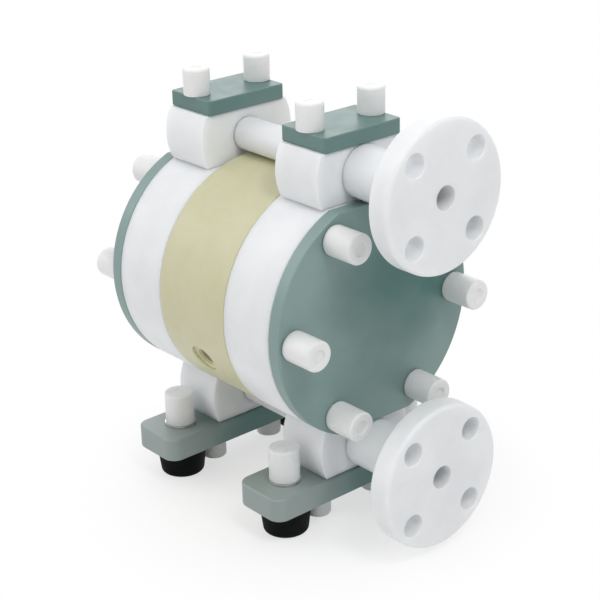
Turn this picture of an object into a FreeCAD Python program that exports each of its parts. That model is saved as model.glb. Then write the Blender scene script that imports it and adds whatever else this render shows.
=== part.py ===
"""Chemical diaphragm pump, air driven, with flanged liquid ports.

Every piece is drawn in the pump's own frame, in millimetres: X runs along the
shaft, Y points to the far side and Z points up, and the origin is where the
shaft crosses the middle of the centre body. A left hand piece is the right
hand piece turned half round the vertical. The placements then put the origin
of the finished part on the floor, under the middle of its bounding box.
"""
import FreeCAD, Part
import math
import os
import re
import Sketcher

Vector = FreeCAD.Vector
Rotation = FreeCAD.Rotation
Placement = FreeCAD.Placement

doc = FreeCAD.newDocument("diaphragm_pump")
sizes = doc.addObject("Spreadsheet::Sheet", "sizes")
places = doc.addObject("Spreadsheet::Sheet", "places")

# Driving dimensions
SIZES = {
    # Main body stack along the shaft
    "body_radius": 79.5,  # outside radius of centre body, chambers and end plates
    "centre_width": 65,  # length of the centre body along the shaft
    "end_plate_thickness": 9,  # thickness of an end plate
    "body_edge_round": 1.2,  # rounding of the outer edges of chambers and centre body
    "plate_edge_chamfer": 0.8,  # chamfer on the edges of the coloured plates
    # Tie rods and their covered cap nuts
    "tie_rod_radius": 4,  # M8 tie rod
    "tie_rod_count": 6,  # tie rods round the body
    "tie_rod_clearance": 0.3,  # radial clearance of a tie rod in its holes
    "rod_grip": 14,  # length of thread held in a cap nut
    "end_nut_radius": 9.8,  # outside radius of a covered cap nut on an end plate
    "end_nut_edge": 2.4,  # distance of a cap nut's side from the body's outline
    "end_nut_height": 22.3,  # height of a cap nut on an end plate
    "end_washer_radius": 9.2,  # washer under an end cap nut
    "end_washer_thickness": 1,  # thickness of that washer
    "nut_edge_round": 1,  # rounding of a cap nut's outer edge
    "nut_bore_spare": 2,  # empty thread beyond the rod's end
    # Manifold
    "block_radius": 37.5,  # radius of a valve block about the manifold axis
    "block_half_height": 17.3,  # distance of a valve block's flats from its axis
    "block_inner_gap": 3.5,  # distance of a valve block from the centre body, along the shaft
    "block_outer_gap": 1.5,  # distance of a valve block from its end plate's inner face
    "way_radius": 7,  # liquid way through chambers, valve blocks and link tubes
    "link_radius": 11,  # outside radius of the tube between the valve blocks
    "link_gap": 0.5,  # gap between that tube and the centre body
    "socket_wall": 0.5,  # gap along the shaft between a socket's floor and a valve seat
    "link_ring_section": 1.1,  # section radius of the rings that seal the sockets
    # Flanged pipes
    "flange_radius": 47.5,  # outside radius of the flange
    "port_radius": 7.5,  # bore of a flanged pipe, nominal size 15
    "flange_thickness": 15.6,  # thickness of the flange
    "flange_reach": 143.8,  # distance of the flange faces from the mid-plane
    "flange_rim_round": 2.5,  # rounding of the flange's rim
    "flange_bolt_ring": 35,  # radius of the flange's bolt circle
    "flange_bolt_count": 4,  # bolt holes in a flange
    "flange_bolt_radius": 7.5,  # radius of a flange bolt hole
    "pipe_radius": 17,  # outside radius of the pipe between block and flange
    "pipe_root_round": 3,  # fillet between pipe and flange
    "spigot_radius": 13,  # radius of the pipe's spigot in its block
    # Check valves
    "ball_radius": 10,  # check ball
    "ball_lift": 4.5,  # lift of a check ball off its seat
    "ball_seat_gap": 0.1,  # gap between a resting ball and its seat, along the axis
    "ball_top_gap": 0.3,  # gap between a lifted ball and its stop
    "ball_side_gap": 0.5,  # gap between a ball and the guide ribs
    "seat_rim": 0.5,  # how far a valve seat is wider than its cage
    "seat_height": 7,  # height of a valve seat
    "seat_bore_radius": 6.5,  # hole through a valve seat
    "seat_cone_depth": 3.5,  # depth of the seat's 45 degree mouth
    "cage_wall": 2,  # wall of a ball cage
    "cage_fit": 0.2,  # clearance of the cage in its cavity
    "cage_rib_width": 3.2,  # width of a guide rib
    "cage_ring_height": 2,  # height of the cage's bottom ring
    "cage_cap_thickness": 3,  # thickness of the cage's top plate
    "cage_cap_hole": 4,  # hole in the cage's top plate
    "seal_ring_gap": 4,  # distance of the ring that seals a block to its chamber from the seat
    "seal_ring_section": 1.3,  # section radius of that ring
    "seal_land": 0.55,  # flat between that ring's groove and the end of the block
    "seal_groove_spare": 0.3,  # extra width of a ring groove
    # Clamps over the upper blocks
    "clamp_thickness": 9,  # thickness of a clamp plate
    "clamp_end_margin": 6,  # length of a clamp plate beyond its studs' axes
    "plate_margin": 0.5,  # how far clamp and foot plates stay inside a block's ends
    "clamp_corner_round": 2.5,  # corner radius of a clamp plate
    "clamp_stud_radius": 3,  # M6 stud or bolt through a valve block
    "clamp_stud_clearance": 0.3,  # radial clearance of those studs in their holes
    "clamp_stud_offset": 25,  # distance of the studs from the shaft's plane
    "stud_rod_gap": 1,  # wall between a stud's hole in the chamber and the tie rods' level
    "stud_hole_spare": 1,  # empty hole below a stud's end
    "top_nut_radius": 8.7,  # outside radius of a cap nut on a clamp plate
    "top_nut_height": 18.5,  # height of a cap nut on a clamp plate
    "top_nut_thread": 13,  # length of stud held in a top cap nut
    # Feet
    "foot_thickness": 16,  # thickness of a foot plate
    "foot_end_margin": 23.5,  # length of a foot plate beyond its rubber feet's axes
    "foot_corner_round": 9,  # corner radius of a foot plate
    "foot_stud_radius": 4,  # M8 stud of a rubber foot
    "foot_stud_clearance": 0.3,  # radial clearance of that stud in the foot plate
    "foot_nut_gap": 5,  # gap between a cap nut on a foot plate and the valve block
    "foot_stud_sink": 11,  # length of the stud moulded into the rubber
    "foot_nut_radius": 10,  # outside radius of a cap nut on a foot plate
    "foot_nut_height": 22,  # height of a cap nut on a foot plate
    "foot_nut_thread": 15,  # length of stud held in a foot cap nut
    "foot_washer_radius": 10.8,  # washer under a foot cap nut
    "foot_washer_thickness": 1.6,  # thickness of that washer
    "rubber_top_radius": 17,  # radius of a rubber foot at its top
    "rubber_base_radius": 14.6,  # radius of a rubber foot at the floor
    "floor_clearance": 5.5,  # height of the lower flange's rim above the floor
    "rubber_base_round": 2.5,  # rounding at the floor
    "lower_nut_radius": 8.7,  # outside radius of a cap nut under a foot plate
    "lower_nut_end": 5,  # distance of the stud's end inside that nut from the nut's end
    "lower_nut_floor_gap": 1.5,  # distance of that nut's end from the floor
    "lower_washer_radius": 8,  # washer between that nut and the foot plate
    "lower_washer_thickness": 1,  # thickness of that washer
    # Shaft, discs and diaphragms
    "shaft_radius": 10,  # centre shaft
    "shaft_clearance": 0.05,  # radial running clearance in the guide bushes
    "shaft_free_bore": 0.8,  # radial room for the shaft between the bushes
    "stroke_half": 6,  # travel of the shaft each way from the middle
    "stud_radius": 6,  # threaded end of the shaft
    "bush_wall": 1.05,  # wall of a guide bush outside its seal
    "bush_length": 12,  # length of a guide bush
    "bush_collar_step": 2.5,  # how far the bush's collar stands out
    "bush_collar_thickness": 2,  # thickness of that collar
    "shaft_seal_section": 1.2,  # section radius of the shaft seal
    "diaphragm_wall": 4,  # wall between a diaphragm's rim and the tie rods
    "diaphragm_clamp": 9,  # width of a diaphragm's clamped rim
    "diaphragm_flex": 16,  # width of a diaphragm's free ring between rim and discs
    "air_wall_taper": 4,  # how much narrower an air chamber is at its floor
    "air_floor_gap": 1,  # gap between inner disc and floor at the end of the stroke
    "liquid_wall_taper": 10,  # how much narrower a liquid chamber is at its floor
    "liquid_floor_gap": 3,  # gap between outer disc and floor at the end of the stroke
    "chamber_corner_round": 5,  # rounding where a chamber's wall meets its floor
    "diaphragm_thickness": 3,  # thickness of a diaphragm
    "wave_set": 0.2,  # distance of the rolling wave's middle from the diaphragm's liquid face
    "wave_margin": 1,  # flat left beside the wave at each edge
    "inner_disc_thickness": 5.5,  # thickness of an inner disc
    "outer_disc_thickness": 6.5,  # thickness of an outer disc at its rim
    "outer_disc_crown": 4,  # height of an outer disc's crown
    "outer_disc_thread": 7,  # depth of thread in an outer disc
    "outer_disc_spare": 0.5,  # empty thread beyond the shaft's end
    "disc_edge_round": 2,  # rounding of the disc edges
    # Air valve in the centre body
    "port_angle": -27,  # angle of the air inlet about the shaft, degrees
    "port_spot_radius": 10.5,  # radius of the spot face round an air port
    "port_spot_depth": 2,  # depth of that spot face at its middle
    "air_thread_radius": 6.58,  # Rc 1/4 threaded port
    "air_thread_depth": 14,  # depth of thread from the spot face
    "passage_radius": 3,  # drilled air passage
    "spool_wall": 3,  # wall between the spool's sleeve and the air chamber's side
    "sleeve_radius": 9,  # outside radius of the spool's sleeve
    "sleeve_groove_depth": 1.2,  # depth of the sleeve's ring grooves
    "sleeve_groove_width": 3.4,  # width of the sleeve's ring grooves
    "sleeve_groove_pitch": 6,  # distance between the ring grooves
    "sleeve_groove_count": 5,  # ring grooves along the sleeve
    "sleeve_hole_radius": 1.2,  # radial holes in the ring grooves
    "spool_radius": 6,  # spool
    "spool_clearance": 0.05,  # radial running clearance of spool and pilot pin
    "spool_end_gap": 1,  # gap between spool and cap at the end of its travel
    "spool_travel": 3,  # travel of the spool each way
    "spool_neck_radius": 3.5,  # neck between the spool's lands
    "spool_land_half": 2,  # half length of the spool's middle land
    "spool_end_land": 3.5,  # length of the spool's end lands
    "spool_cap_thickness": 3,  # thickness of the caps that close the spool's bore
    "transfer_radius": 2.2,  # passage from the sleeve to an air chamber
    "pilot_radius": 3,  # pilot pin
    "pilot_inset": 6,  # distance of the pilot pin's axis inside the discs' rim
    "pilot_travel": 3,  # travel of the pilot pin each way
    "pilot_disc_gap": 0.3,  # gap between pilot pin and disc at the end of the stroke
}
owner = {alias: "sizes" for alias in SIZES}
for row, (alias, value) in enumerate(SIZES.items(), 1):
    sizes.set("A%d" % row, alias)
    sizes.set("B%d" % row, str(value))
    sizes.setAlias("B%d" % row, alias)
doc.recompute()


def place(alias, formula):
    """Keep one place or length that follows from the driving dimensions."""
    row = len(owner) - len(SIZES) + 1
    places.set("A%d" % row, alias)
    places.set("B%d" % row, "=" + expression(formula))
    places.setAlias("B%d" % row, alias)
    owner[alias] = "places"


def expression(formula):
    """Write the owning sheet before each alias in a formula."""
    return re.sub(r"[a-z_]+", lambda word: owner[word.group()] + "." + word.group()
                  if word.group() in owner else word.group(), str(formula))


def number(formula):
    """Work out a formula from the sheets."""
    found = sizes.evalExpression(expression(formula))
    return float(getattr(found, "Value", found))


# Widths of a check valve, from its ball out to the valve block's ends
place("rib_inner", "ball_radius + ball_side_gap")
place("cage_radius", "rib_inner + cage_wall")
place("cavity_radius", "cage_radius + cage_fit")
place("seat_radius", "cage_radius + seat_rim")
place("seal_ring_radius", "seat_radius + seal_ring_gap")
place("seal_groove_depth", "seal_ring_section * 2")
place("seal_groove_half", "seal_ring_section + seal_groove_spare / 2")
place("block_half_width", "seal_ring_radius + seal_groove_half + seal_land")
place("socket_depth", "block_half_width - seat_radius - socket_wall")

# Widths round the shaft, from the body's outline inwards
place("tie_rod_ring", "body_radius - end_nut_edge - end_nut_radius")
place("diaphragm_radius", "tie_rod_ring - tie_rod_radius - tie_rod_clearance - diaphragm_wall")
place("air_mouth_radius", "diaphragm_radius - diaphragm_clamp")
place("air_floor_radius", "air_mouth_radius - air_wall_taper")
place("liquid_floor_radius", "air_mouth_radius - liquid_wall_taper")
place("disc_radius", "air_mouth_radius - diaphragm_flex")
place("bush_radius", "shaft_radius + shaft_clearance + shaft_seal_section * 2 + bush_wall")
place("bush_collar_radius", "bush_radius + bush_collar_step")

# Places along the shaft, from the mid-plane outwards
place("joint_face", "centre_width / 2")
place("block_inner", "joint_face + block_inner_gap")
place("valve_offset", "block_inner + block_half_width")
place("block_outer", "valve_offset + block_half_width")
place("plate_face", "block_outer + block_outer_gap")
place("nut_face", "plate_face + end_plate_thickness")
place("end_reach", "nut_face + end_washer_thickness + end_nut_height")
place("flange_back", "flange_reach - flange_thickness")
place("liquid_side", "joint_face + diaphragm_thickness")
place("disc_face", "joint_face - inner_disc_thickness")
place("air_floor", "disc_face - stroke_half - air_floor_gap")
place("disc_rim", "liquid_side + outer_disc_thickness")
place("disc_crown", "disc_rim + outer_disc_crown")
place("liquid_floor", "disc_crown + stroke_half + liquid_floor_gap")

# The arcs of a diaphragm's rolling wave, about one middle, and of an outer disc's crown
place("wave_half", "diaphragm_flex / 2 - wave_margin")
place("wave_middle", "disc_radius + diaphragm_flex / 2")
place("wave_outer", "sqrt((diaphragm_thickness + wave_set) ^ 2 + wave_half ^ 2)")
place("wave_inner", "wave_outer - diaphragm_thickness")
place("wave_inner_half", "sqrt(wave_inner ^ 2 - wave_set ^ 2)")
place("crown_half", "disc_radius - disc_edge_round")
place("crown_radius", "(crown_half ^ 2 + outer_disc_crown ^ 2) / (2 * outer_disc_crown)")

# Places above and below the shaft
place("manifold_height", "body_radius + link_gap + link_radius")
place("body_flat", "manifold_height - block_half_height")
place("block_face", "manifold_height + block_half_height")
place("clamp_face", "block_face + clamp_thickness")
place("foot_face", "block_face + foot_thickness")
place("axis_height", "manifold_height + flange_radius + floor_clearance")
place("rubber_height", "axis_height - foot_face")
place("centre_x", "(end_reach - flange_reach) / 2")

# Places of studs and plates
place("rod_level", "tie_rod_ring * sin(60deg) + tie_rod_radius + tie_rod_clearance")
place("stud_hole_depth", "body_flat - rod_level - stud_rod_gap")
place("clamp_stud_grip", "stud_hole_depth - stud_hole_spare")
place("clamp_half_length", "clamp_stud_offset + clamp_end_margin")
place("foot_stud_offset", "block_radius + foot_nut_gap + foot_nut_radius")
place("foot_half_length", "foot_stud_offset + foot_end_margin")
place("plate_half_width", "block_half_width - plate_margin")
place("lower_nut_height", "rubber_height - lower_washer_thickness - lower_nut_floor_gap")
place("lower_nut_thread", "lower_nut_height - lower_nut_end")

# Places in a check valve, measured up from the joint between chamber and block
place("ball_rest", "seat_bore_radius * -1 + ball_radius * sqrt(2) - seat_cone_depth + ball_seat_gap")
place("cage_cap_bottom", "ball_rest + ball_radius + ball_lift + ball_top_gap")
place("cage_height", "cage_cap_bottom + cage_cap_thickness")
place("cavity_height", "cage_height + cage_fit")

# Places in the centre body's air valve
place("spool_ring", "air_floor_radius - spool_wall - sleeve_radius")
place("spool_y", "spool_ring * cos(port_angle * 1deg)")
place("spool_z", "spool_ring * sin(port_angle * 1deg)")
place("sleeve_half_length", "air_floor - spool_cap_thickness")
place("spool_half_length", "sleeve_half_length - spool_travel - spool_end_gap")
place("exhaust_gallery", "sleeve_groove_pitch * 2")
place("spot_seat", "body_radius - port_spot_depth")
place("pilot_height", "disc_radius - pilot_inset")
place("pilot_half_length", "disc_face - pilot_travel - pilot_disc_gap")

doc.recompute()


# Ways to draw

def body(label, turned=False):
    """Start a piece in the pump's frame, turned half round for the left hand."""
    made = doc.addObject("PartDesign::Body", label)
    made.Label = label
    half_turn = Rotation(Vector(0, 0, 1), 180 if turned else 0)
    made.Placement = Placement(Vector(0, 0, 0), half_turn)
    made.setExpression("Placement.Base.x", expression("centre_x"))
    made.setExpression("Placement.Base.z", expression("axis_height"))
    return made


def origin_feature(owner_body, role):
    """Find an origin plane or axis of a body by its role."""
    return next(item for item in owner_body.Origin.OriginFeatures if item.Role == role)


def sketch(on_body, name, plane, lift="0", rise="0", turn=None):
    """Attach a sketch to an origin plane, lifted off it, moved up or turned in it."""
    made = on_body.newObject("Sketcher::SketchObject", name)
    made.AttachmentSupport = [(origin_feature(on_body, plane), "")]
    made.MapMode = "FlatFace"
    if turn is not None:
        made.AttachmentOffset = Placement(Vector(0, 0, 0), Rotation(Vector(0, 0, 1), number(turn)))
        made.setExpression("AttachmentOffset.Rotation.Angle", expression(turn))
    if lift != "0":
        made.setExpression("AttachmentOffset.Base.z", expression(lift))
    if rise != "0":
        made.setExpression("AttachmentOffset.Base.y", expression(rise))
    return made


def fix(drawn, kind, formula, *where):
    """Add one dimension to a sketch and bind it to its formula."""
    index = drawn.addConstraint(Sketcher.Constraint(kind, *where, number(formula)))
    if str(formula) != "0":
        drawn.setExpression("Constraints[%d]" % index, expression(formula))


def rounded(across, up, radius):
    """Give a corner between a level and an upright side, with its rounding."""
    return (across, up, "round", radius)


def bowed(across, up, radius, turn):
    """Give a corner whose next side is an arc that turns left or right."""
    return (across, up, turn, radius)


def stepped(corner, neighbour):
    """Step from a rounded corner towards its neighbour by the rounding."""
    where = list(corner[:2])
    moved = 0 if close(number(neighbour[1]), corner[1]) else 1
    sign = "+" if number(neighbour[moved]) > number(corner[moved]) else "-"
    where[moved] = "%s %s (%s)" % (where[moved], sign, corner[3])
    return where


def arc_between(drawn, start, end, radius, turn):
    """Draw the lesser arc between two points and give its index and two vertices."""
    span = end - start
    left = Vector(-span.y, span.x, 0).normalize() * (1 if turn == "left" else -1)
    reach = math.sqrt(max(number(radius) ** 2 - (span.Length / 2) ** 2, 0))
    middle = (start + end) / 2 + left * reach
    angles = [math.atan2(point.y - middle.y, point.x - middle.x) for point in (start, end)]
    ring = Part.Circle(middle, Vector(0, 0, 1), number(radius))
    index = drawn.addGeometry(Part.ArcOfCircle(ring, *(angles if turn == "left" else angles[::-1])), False)
    return (index, 1, 2) if turn == "left" else (index, 2, 1)


def outline(drawn, corners):
    """Draw a closed outline through corners given as formulas, rounded or bowed where they say."""
    starts = []
    for index, corner in enumerate(corners):
        if corner[2:3] == ("round",):
            before, after = (stepped(corner, corners[place_of % len(corners)])
                             for place_of in (index - 1, index + 1))
            turn = turn_between(before, corner, after)
            starts += [(before, turn, corner[3]), (after, None, None)]
        elif len(corner) == 4:
            starts.append((corner[:2], corner[2], corner[3]))
        else:
            starts.append((corner, None, None))
    points = [Vector(number(across), number(up), 0) for (across, up), _, _ in starts]
    sides = []
    for index, (_, turn, radius) in enumerate(starts):
        ends = (points[index], points[(index + 1) % len(points)])
        if turn:
            sides.append(arc_between(drawn, *ends, radius, turn))
        else:
            sides.append((drawn.addGeometry(Part.LineSegment(*ends), False), 1, 2))
    for index, (side, _, last) in enumerate(sides):
        following, first, _ = sides[(index + 1) % len(sides)]
        drawn.addConstraint(Sketcher.Constraint("Coincident", side, last, following, first))
    for (side, first, _), ((across, up), turn, radius) in zip(sides, starts):
        fix(drawn, "DistanceX", across, -1, 1, side, first)
        fix(drawn, "DistanceY", up, -1, 1, side, first)
        if turn:
            fix(drawn, "Radius", radius, side)


def turn_between(before, corner, after):
    """Tell whether a route past a corner turns left or right."""
    start, middle, end = (Vector(number(point[0]), number(point[1]), 0)
                          for point in (before, corner, after))
    return "left" if (middle - start).cross(end - middle).z > 0 else "right"


def rectangle(drawn, left, right, bottom, top):
    """Draw a rectangle from the formulas of its sides."""
    outline(drawn, [(left, bottom), (right, bottom), (right, top), (left, top)])


def circle(drawn, across, up, radius):
    """Draw a circle from the formulas of its middle and radius."""
    middle = Vector(number(across), number(up), 0)
    index = drawn.addGeometry(Part.Circle(middle, Vector(0, 0, 1), number(radius)), False)
    fix(drawn, "Radius", radius, index)
    fix(drawn, "DistanceX", across, -1, 1, index, 3)
    fix(drawn, "DistanceY", up, -1, 1, index, 3)


def axis(drawn, start, end):
    """Draw a construction line to revolve about, between two pairs of formulas."""
    ends = [Vector(number(across), number(up), 0) for across, up in (start, end)]
    index = drawn.addGeometry(Part.LineSegment(*ends), True)
    for vertex, (across, up) in enumerate((start, end), 1):
        fix(drawn, "DistanceX", across, -1, 1, index, vertex)
        fix(drawn, "DistanceY", up, -1, 1, index, vertex)


def pad(on_body, name, drawn, length, both_ways=False):
    """Extrude a sketch along its plane's normal, or half each way."""
    made = on_body.newObject("PartDesign::Pad", name)
    made.Profile = drawn
    made.SideType = "Symmetric" if both_ways else "One side"
    made.setExpression("Length", expression(length))
    return made


def pocket(on_body, name, drawn, length=None, against=False):
    """Cut a sketch along its plane's normal, against it, or through both ways."""
    made = on_body.newObject("PartDesign::Pocket", name)
    made.Profile = drawn
    if length is None:
        made.SideType = "Symmetric"
        made.Type = "ThroughAll"
    else:
        made.Reversed = not against
        made.setExpression("Length", expression(length))
    return made


def revolve(on_body, name, drawn, about="H_Axis"):
    """Turn a sketch into a round solid about one of its axes."""
    made = on_body.newObject("PartDesign::Revolution", name)
    made.Profile = drawn
    made.ReferenceAxis = (drawn, [about])
    made.Angle = 360
    return made


def groove(on_body, name, drawn, about="H_Axis"):
    """Turn a sketch into a round cut about one of its axes."""
    made = on_body.newObject("PartDesign::Groove", name)
    made.Profile = drawn
    made.ReferenceAxis = (drawn, [about])
    made.Angle = 360
    return made


def pattern(on_body, name, features, about, count):
    """Repeat features evenly round an axis, given as an object and its sub-element."""
    made = on_body.newObject("PartDesign::PolarPattern", name)
    made.Originals = features
    made.Axis = about
    made.Angle = 360
    made.setExpression("Occurrences", expression(count))
    on_body.Tip = made
    return made


def shaft_axis(on_body):
    """Give the axis of the shaft, to pattern about."""
    return (origin_feature(on_body, "X_Axis"), [""])


def mirror(on_body, name, features, role):
    """Repeat features on the other side of one of the body's planes."""
    made = on_body.newObject("PartDesign::Mirrored", name)
    made.Originals = features
    made.MirrorPlane = (origin_feature(on_body, role), [""])
    on_body.Tip = made
    return made


def edges_where(feature, test):
    """Name the edges of a feature whose middle and box pass a test."""
    doc.recompute()
    return ["Edge%d" % (index + 1) for index, edge in enumerate(feature.Shape.Edges) if test(edge)]


def round_edges(on_body, name, feature, test, radius):
    """Round the edges that pass a test."""
    made = on_body.newObject("PartDesign::Fillet", name)
    made.Base = (feature, edges_where(feature, test))
    made.setExpression("Radius", expression(radius))
    on_body.Tip = made
    return made


def chamfer_edges(on_body, name, feature, test, depth):
    """Chamfer the edges that pass a test."""
    made = on_body.newObject("PartDesign::Chamfer", name)
    made.Base = (feature, edges_where(feature, test))
    made.setExpression("Size", expression(depth))
    on_body.Tip = made
    return made


def close(found, formula):
    """Tell whether a measured value is the value of a formula."""
    return abs(found - number(formula)) < 0.01


def arc_at(formula, radius):
    """Make a test for round edges of a radius in the plane X = formula."""
    def test(edge):
        box = edge.BoundBox
        flat = close(box.XMin, formula) and close(box.XMax, formula)
        return flat and hasattr(edge.Curve, "Radius") and close(edge.Curve.Radius, radius)
    return test


def upright(edge):
    """Tell whether an edge is straight and vertical."""
    box = edge.BoundBox
    return box.XLength < 0.01 and box.YLength < 0.01


# Centre body

def make_centre_body():
    """The moulded centre body with its air chambers, ports and valve bores."""
    made = body("centre_body")
    disc = sketch(made, "centre_disc", "YZ_Plane")
    circle(disc, "0", "0", "body_radius")
    pad(made, "centre_pad", disc, "centre_width", both_ways=True)

    chamber = sketch(made, "air_chamber_profile", "XZ_Plane")
    free = "shaft_radius + shaft_free_bore"
    collar_seat = "air_floor - bush_collar_thickness"
    outline(chamber, [
        ("0", "0"), ("joint_face", "0"), ("joint_face", "air_mouth_radius"),
        ("air_floor", "air_floor_radius"), ("air_floor", "bush_collar_radius"),
        (collar_seat, "bush_collar_radius"), (collar_seat, "bush_radius"),
        ("air_floor - bush_length", "bush_radius"), ("air_floor - bush_length", free),
        ("0", free),
    ])
    hollow = groove(made, "air_chamber", chamber)
    mirrored = mirror(made, "air_chambers", [hollow], "YZ_Plane")
    round_edges(made, "air_chamber_rounds", mirrored,
                lambda edge: arc_at("air_floor", "air_floor_radius")(edge)
                or arc_at("-air_floor", "air_floor_radius")(edge), "chamber_corner_round")

    rods = sketch(made, "tie_rod_hole", "YZ_Plane")
    circle(rods, "tie_rod_ring", "0", "tie_rod_radius + tie_rod_clearance")
    hole = pocket(made, "tie_rod_cut", rods)
    pattern(made, "tie_rod_cuts", [hole], shaft_axis(made), "tie_rod_count")

    bores = sketch(made, "valve_bores", "YZ_Plane")
    circle(bores, "spool_y", "spool_z", "sleeve_radius")
    circle(bores, "0", "pilot_height", "pilot_radius + spool_clearance")
    pocket(made, "valve_bore_cuts", bores)

    for name, angle in (("inlet", "port_angle"), ("exhaust", "-180 - port_angle")):
        port = sketch(made, name + "_profile", "YZ_Plane", turn=angle)
        thread_end = "spot_seat - air_thread_depth"
        outline(port, [
            ("spool_ring", "0"), ("body_radius + port_spot_depth", "0"),
            ("body_radius + port_spot_depth", "port_spot_radius"),
            ("spot_seat", "port_spot_radius"), ("spot_seat", "air_thread_radius"),
            (thread_end, "air_thread_radius"),
            (thread_end + " - air_thread_radius + passage_radius", "passage_radius"),
            ("spool_ring", "passage_radius"),
        ])
        groove(made, name + "_port", port)

    gallery = sketch(made, "exhaust_gallery_hole", "YZ_Plane")
    circle(gallery, "-spool_y", "spool_z", "passage_radius")
    gallery_cut = pocket(made, "exhaust_gallery_cut", gallery, "exhaust_gallery + passage_radius")

    cross = sketch(made, "exhaust_cross_hole", "XZ_Plane", lift="-spool_y")
    circle(cross, "exhaust_gallery", "spool_z", "passage_radius")
    cross_cut = pocket(made, "exhaust_cross_cut", cross, "spool_y * 2")

    transfer = sketch(made, "transfer_hole", "YZ_Plane", lift="sleeve_groove_pitch")
    circle(transfer, "spool_y", "spool_z - sleeve_radius", "transfer_radius")
    transfer_cut = pocket(made, "transfer_cut", transfer, "joint_face - sleeve_groove_pitch")
    mirror(made, "valve_passages", [gallery_cut, cross_cut, transfer_cut], "YZ_Plane")

    round_edges(made, "centre_rounds", made.Tip,
                lambda edge: arc_at("joint_face", "body_radius")(edge)
                or arc_at("-joint_face", "body_radius")(edge), "body_edge_round")


# Liquid chambers and end plates

def cut_flats(made, name):
    """Cut the two flats, level with the valve blocks, that a round piece has."""
    flats = sketch(made, name + "_flats", "YZ_Plane")
    rectangle(flats, "-body_radius", "body_radius", "body_flat", "body_radius + 1")
    rectangle(flats, "-body_radius", "body_radius", "-body_radius - 1", "-body_flat")
    return pocket(made, name + "_flat_cut", flats)


def cut_tie_rod_holes(made, name):
    """Cut the ring of tie rod holes."""
    rods = sketch(made, name + "_rod_hole", "YZ_Plane")
    circle(rods, "tie_rod_ring", "0", "tie_rod_radius + tie_rod_clearance")
    hole = pocket(made, name + "_rod_cut", rods)
    return pattern(made, name + "_rod_cuts", [hole], shaft_axis(made), "tie_rod_count")


def seal_groove(drawn, face, inwards):
    """Draw the groove of a sealing ring in a flat, beside a valve axis."""
    middle = "valve_offset + seal_ring_radius"
    bottom = face + inwards + "seal_groove_depth"
    levels = (face, bottom) if inwards == " + " else (bottom, face)
    rectangle(drawn, middle + " - seal_groove_half", middle + " + seal_groove_half", *levels)


def make_chamber(label, turned):
    """A liquid chamber: suction ball cavity below, discharge seat above."""
    made = body(label, turned)
    disc = sketch(made, label + "_disc", "YZ_Plane", lift="joint_face")
    circle(disc, "0", "0", "body_radius")
    pad(made, label + "_pad", disc, "plate_face - joint_face")
    cut_flats(made, label)

    hollow = sketch(made, label + "_hollow", "XZ_Plane")
    outline(hollow, [
        ("joint_face", "0"), ("joint_face", "diaphragm_radius"), ("liquid_side", "diaphragm_radius"),
        ("liquid_side", "air_mouth_radius"), ("liquid_floor", "liquid_floor_radius"),
        ("liquid_floor", "0"),
    ])
    hollow_cut = groove(made, label + "_hollow_cut", hollow)
    round_edges(made, label + "_floor_round", hollow_cut,
                arc_at("liquid_floor", "liquid_floor_radius"), "chamber_corner_round")
    cut_tie_rod_holes(made, label)

    ways = sketch(made, label + "_ways", "XZ_Plane")
    wall = "valve_offset + "
    reach = "liquid_floor_radius - chamber_corner_round - way_radius"
    top = "body_flat"
    outline(ways, [
        ("valve_offset", reach), (wall + "way_radius", reach),
        (wall + "way_radius", top + " - seat_height"), (wall + "seat_radius", top + " - seat_height"),
        (wall + "seat_radius", top), ("valve_offset", top),
    ])
    outline(ways, [
        ("valve_offset", "-body_flat"), (wall + "cavity_radius", "-body_flat"),
        (wall + "cavity_radius", "-body_flat + cavity_height"),
        (wall + "way_radius", "-body_flat + cavity_height"),
        (wall + "way_radius", "-(" + reach + ")"), ("valve_offset", "-(" + reach + ")"),
    ])
    seal_groove(ways, "body_flat", " - ")
    seal_groove(ways, "-body_flat", " + ")
    axis(ways, ("valve_offset", "0"), ("valve_offset", "body_flat"))
    groove(made, label + "_way_cuts", ways, "Axis0")

    for name, level, upwards in (("upper", "body_flat", False), ("lower", "-body_flat", True)):
        studs = sketch(made, label + "_" + name + "_stud_holes", "XY_Plane", lift=level)
        for offset in ("clamp_stud_offset", "-clamp_stud_offset"):
            circle(studs, "valve_offset", offset, "clamp_stud_radius")
        pocket(made, label + "_" + name + "_stud_cuts", studs, "stud_hole_depth", against=not upwards)

    round_edges(made, label + "_rounds", made.Tip,
                lambda edge: arc_at("joint_face", "body_radius")(edge)
                or arc_at("plate_face", "body_radius")(edge), "body_edge_round")
    return made


def make_end_plate(label, turned):
    """A flat cover plate that the tie rods pull against its chamber."""
    made = body(label, turned)
    disc = sketch(made, label + "_disc", "YZ_Plane", lift="plate_face")
    circle(disc, "0", "0", "body_radius")
    pad(made, label + "_pad", disc, "end_plate_thickness")
    cut_flats(made, label)
    cut_tie_rod_holes(made, label)

    def outer(edge):
        box = edge.BoundBox
        holes = hasattr(edge.Curve, "Radius") and edge.Curve.Radius < number("tie_rod_ring") / 2
        return close(box.XMin, "nut_face") and close(box.XMax, "nut_face") and not holes

    chamfer_edges(made, label + "_chamfer", made.Tip, outer, "plate_edge_chamfer")
    return made


# Tie rods, washers and covered cap nuts

def make_tie_rods():
    """Six threaded rods from end to end."""
    made = body("tie_rods")
    rod = sketch(made, "tie_rod_section", "YZ_Plane")
    circle(rod, "tie_rod_ring", "0", "tie_rod_radius")
    length = "(nut_face + end_washer_thickness + rod_grip) * 2"
    solid = pad(made, "tie_rod", rod, length, both_ways=True)
    pattern(made, "tie_rod_ring_pattern", [solid], shaft_axis(made), "tie_rod_count")


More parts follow.
